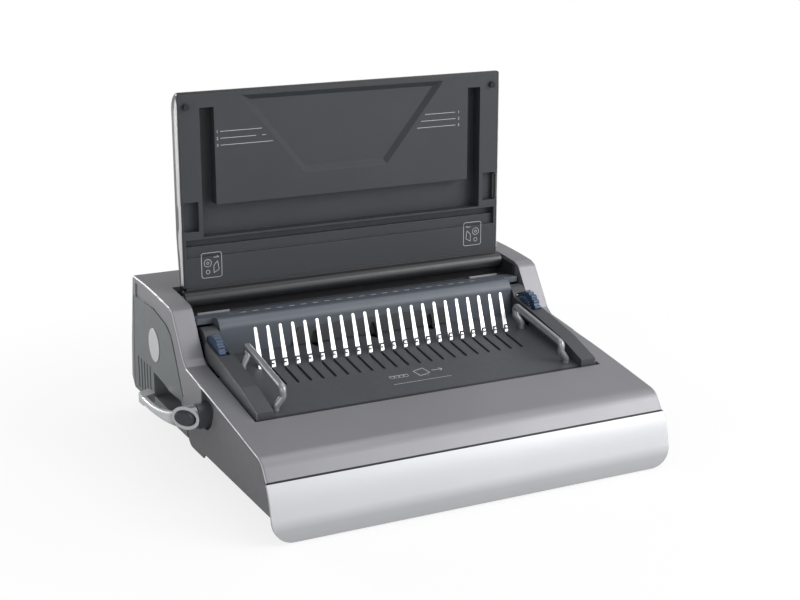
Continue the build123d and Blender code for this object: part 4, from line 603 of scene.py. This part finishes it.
dash_at = (np.arange(dash_count) - dash_count // 2) * dash_pitch
dashes = np.stack([dash_at - 3.4, np.full(dash_count, 65.3), dash_at + 3.4, np.full(dash_count, 65.3)], 1)
dashes = np.hstack([dashes, np.full((dash_count, 1), 3.5)])
marks("housing_dashes", "body", on_housing, dashes)
marks(
    "housing_side_marks",
    "body",
    on_housing,
    chain((-160.0, 67.5), (-154.5, 67.5), width=0.8),
    chain((-160.0, 64.0), (-147.0, 64.0), width=0.8),
)

comb_line = [chain((-31.0, -66.0), (-9.0, -66.0), width=0.9)]
comb_line += [ring(-28.0 + 5.4 * k, -68.6, 2.6, 90, 300, 10) for k in range(4)]
sheet_line = [chain((0.0, -62.0), (13.0, -58.0), (16.0, -70.0), (3.0, -74.0), (0.0, -62.0), width=0.8)]
for k in (1, 4, 7, 10):
    sheet_line += [chain((1.5 + k, -71.5 - 0.3 * k), (2.2 + k, -71.3 - 0.3 * k), width=1.0)]
arrow_line = [chain((20.0, -66.0), (33.0, -66.0), width=0.9)]
arrow_line += [chain((29.5, -62.8), (33.0, -66.0), (29.5, -69.2), width=0.9)]
foot_line = [chain((-34.0, -84.0), (35.0, -84.0), width=0.6)]
marks("deck_picture", "body", on_deck, *comb_line, *sheet_line, *arrow_line, *foot_line)

# Floor, light and camera: a plain white studio with large soft lamps.
floor_mesh = bpy.data.meshes.new("floor")
reach = 6.0
floor_mesh.from_pydata(
    [(-reach, -reach, 0), (reach, -reach, 0), (reach, reach, 0), (-reach, reach, 0)], [], [(0, 1, 2, 3)]
)
floor = bpy.data.objects.new("floor", floor_mesh)
bpy.context.scene.collection.objects.link(floor)
near_glow = 0.78
paper = Finish("floor_white", Base_Color=(0.9, 0.9, 0.9, 1.0), Roughness=0.9)
seen = paper.node("ShaderNodeLightPath", output="Is Camera Ray")
away = (paper.axis(0) ** 2.0 + paper.axis(1) ** 2.0) * 0.5
glow = paper.node("ShaderNodeEmission", None, {"Color": (1, 1, 1, 1), "Strength": 1.0})
lit = Value(paper, paper.surface.outputs[0])
blend = paper.node("ShaderNodeMixShader", None, {0: seen * (away + near_glow).limit(), 1: lit, 2: glow})
paper.links.new(blend.socket, paper.nodes["Material Output"].inputs["Surface"])
floor_mesh.materials.append(paper.material)

sky_level = 0.36
mirrored_extra = 0.14
world = bpy.data.worlds.new("studio")
world.use_nodes = True
bpy.context.scene.world = world
sky = world.node_tree.nodes
wires = world.node_tree.links
rays = sky.new("ShaderNodeLightPath")
strength = sky["Background"].inputs["Strength"]
level = sky.new("ShaderNodeMath")
level.operation = "MULTIPLY_ADD"
level.inputs[1].default_value = mirrored_extra
level.inputs[2].default_value = sky_level
wires.new(rays.outputs["Is Glossy Ray"], level.inputs[0])
lifted = sky.new("ShaderNodeMath")
lifted.operation = "MAXIMUM"
wires.new(rays.outputs["Is Camera Ray"], lifted.inputs[0])
wires.new(level.outputs[0], lifted.inputs[1])
wires.new(lifted.outputs[0], strength)
sky["Background"].inputs["Color"].default_value = (1, 1, 1, 1)


def lamp(name, spot, target, size, power):
    """Square area lamp at a spot, turned towards a target."""
    data = bpy.data.lights.new(name, "AREA")
    data.size = size
    data.energy = power
    made = bpy.data.objects.new(name, data)
    made.location = spot
    made.rotation_euler = (Vector(target) - Vector(spot)).to_track_quat("-Z", "Y").to_euler()
    bpy.context.scene.collection.objects.link(made)


lamp("key_lamp", (1.7, -1.35, 1.4), (0, 0, 0.1), 1.4, 34.0)
lamp("front_lamp", (1.4, -2.0, 0.9), (0.1, 0, 0.1), 2.0, 22.0)
lamp("top_lamp", (0.6, 0.2, 2.4), (0, 0, 0.1), 1.8, 16.0)
lamp("fill_lamp", (-2.0, -1.6, 1.0), (0, 0, 0.15), 1.2, 10.0)
lamp("edge_lamp", (-1.25, 2.3, 0.62), (-0.2, 0, 0.1), 0.8, 18.0)

picture_width = 800
focal_pixels = 1566.14
sensor_width = 36.0
view_spot = (-0.7256, -1.4763, 0.6301)
turn = np.radians(-26.658)
tilt = np.radians(16.027)
behind = Vector((np.sin(turn) * np.cos(tilt), -np.cos(turn) * np.cos(tilt), np.sin(tilt)))
across = Vector((np.cos(turn), np.sin(turn), 0))
above = behind.cross(across)
view = bpy.data.cameras.new("view")
view.sensor_width = sensor_width
view.lens = focal_pixels / picture_width * sensor_width
camera = bpy.data.objects.new("view", view)
camera.matrix_world = Matrix((across, above, behind)).transposed().to_4x4()
camera.location = view_spot
bpy.context.scene.collection.objects.link(camera)
bpy.context.scene.camera = camera
bpy.context.scene.view_settings.view_transform = "Standard"
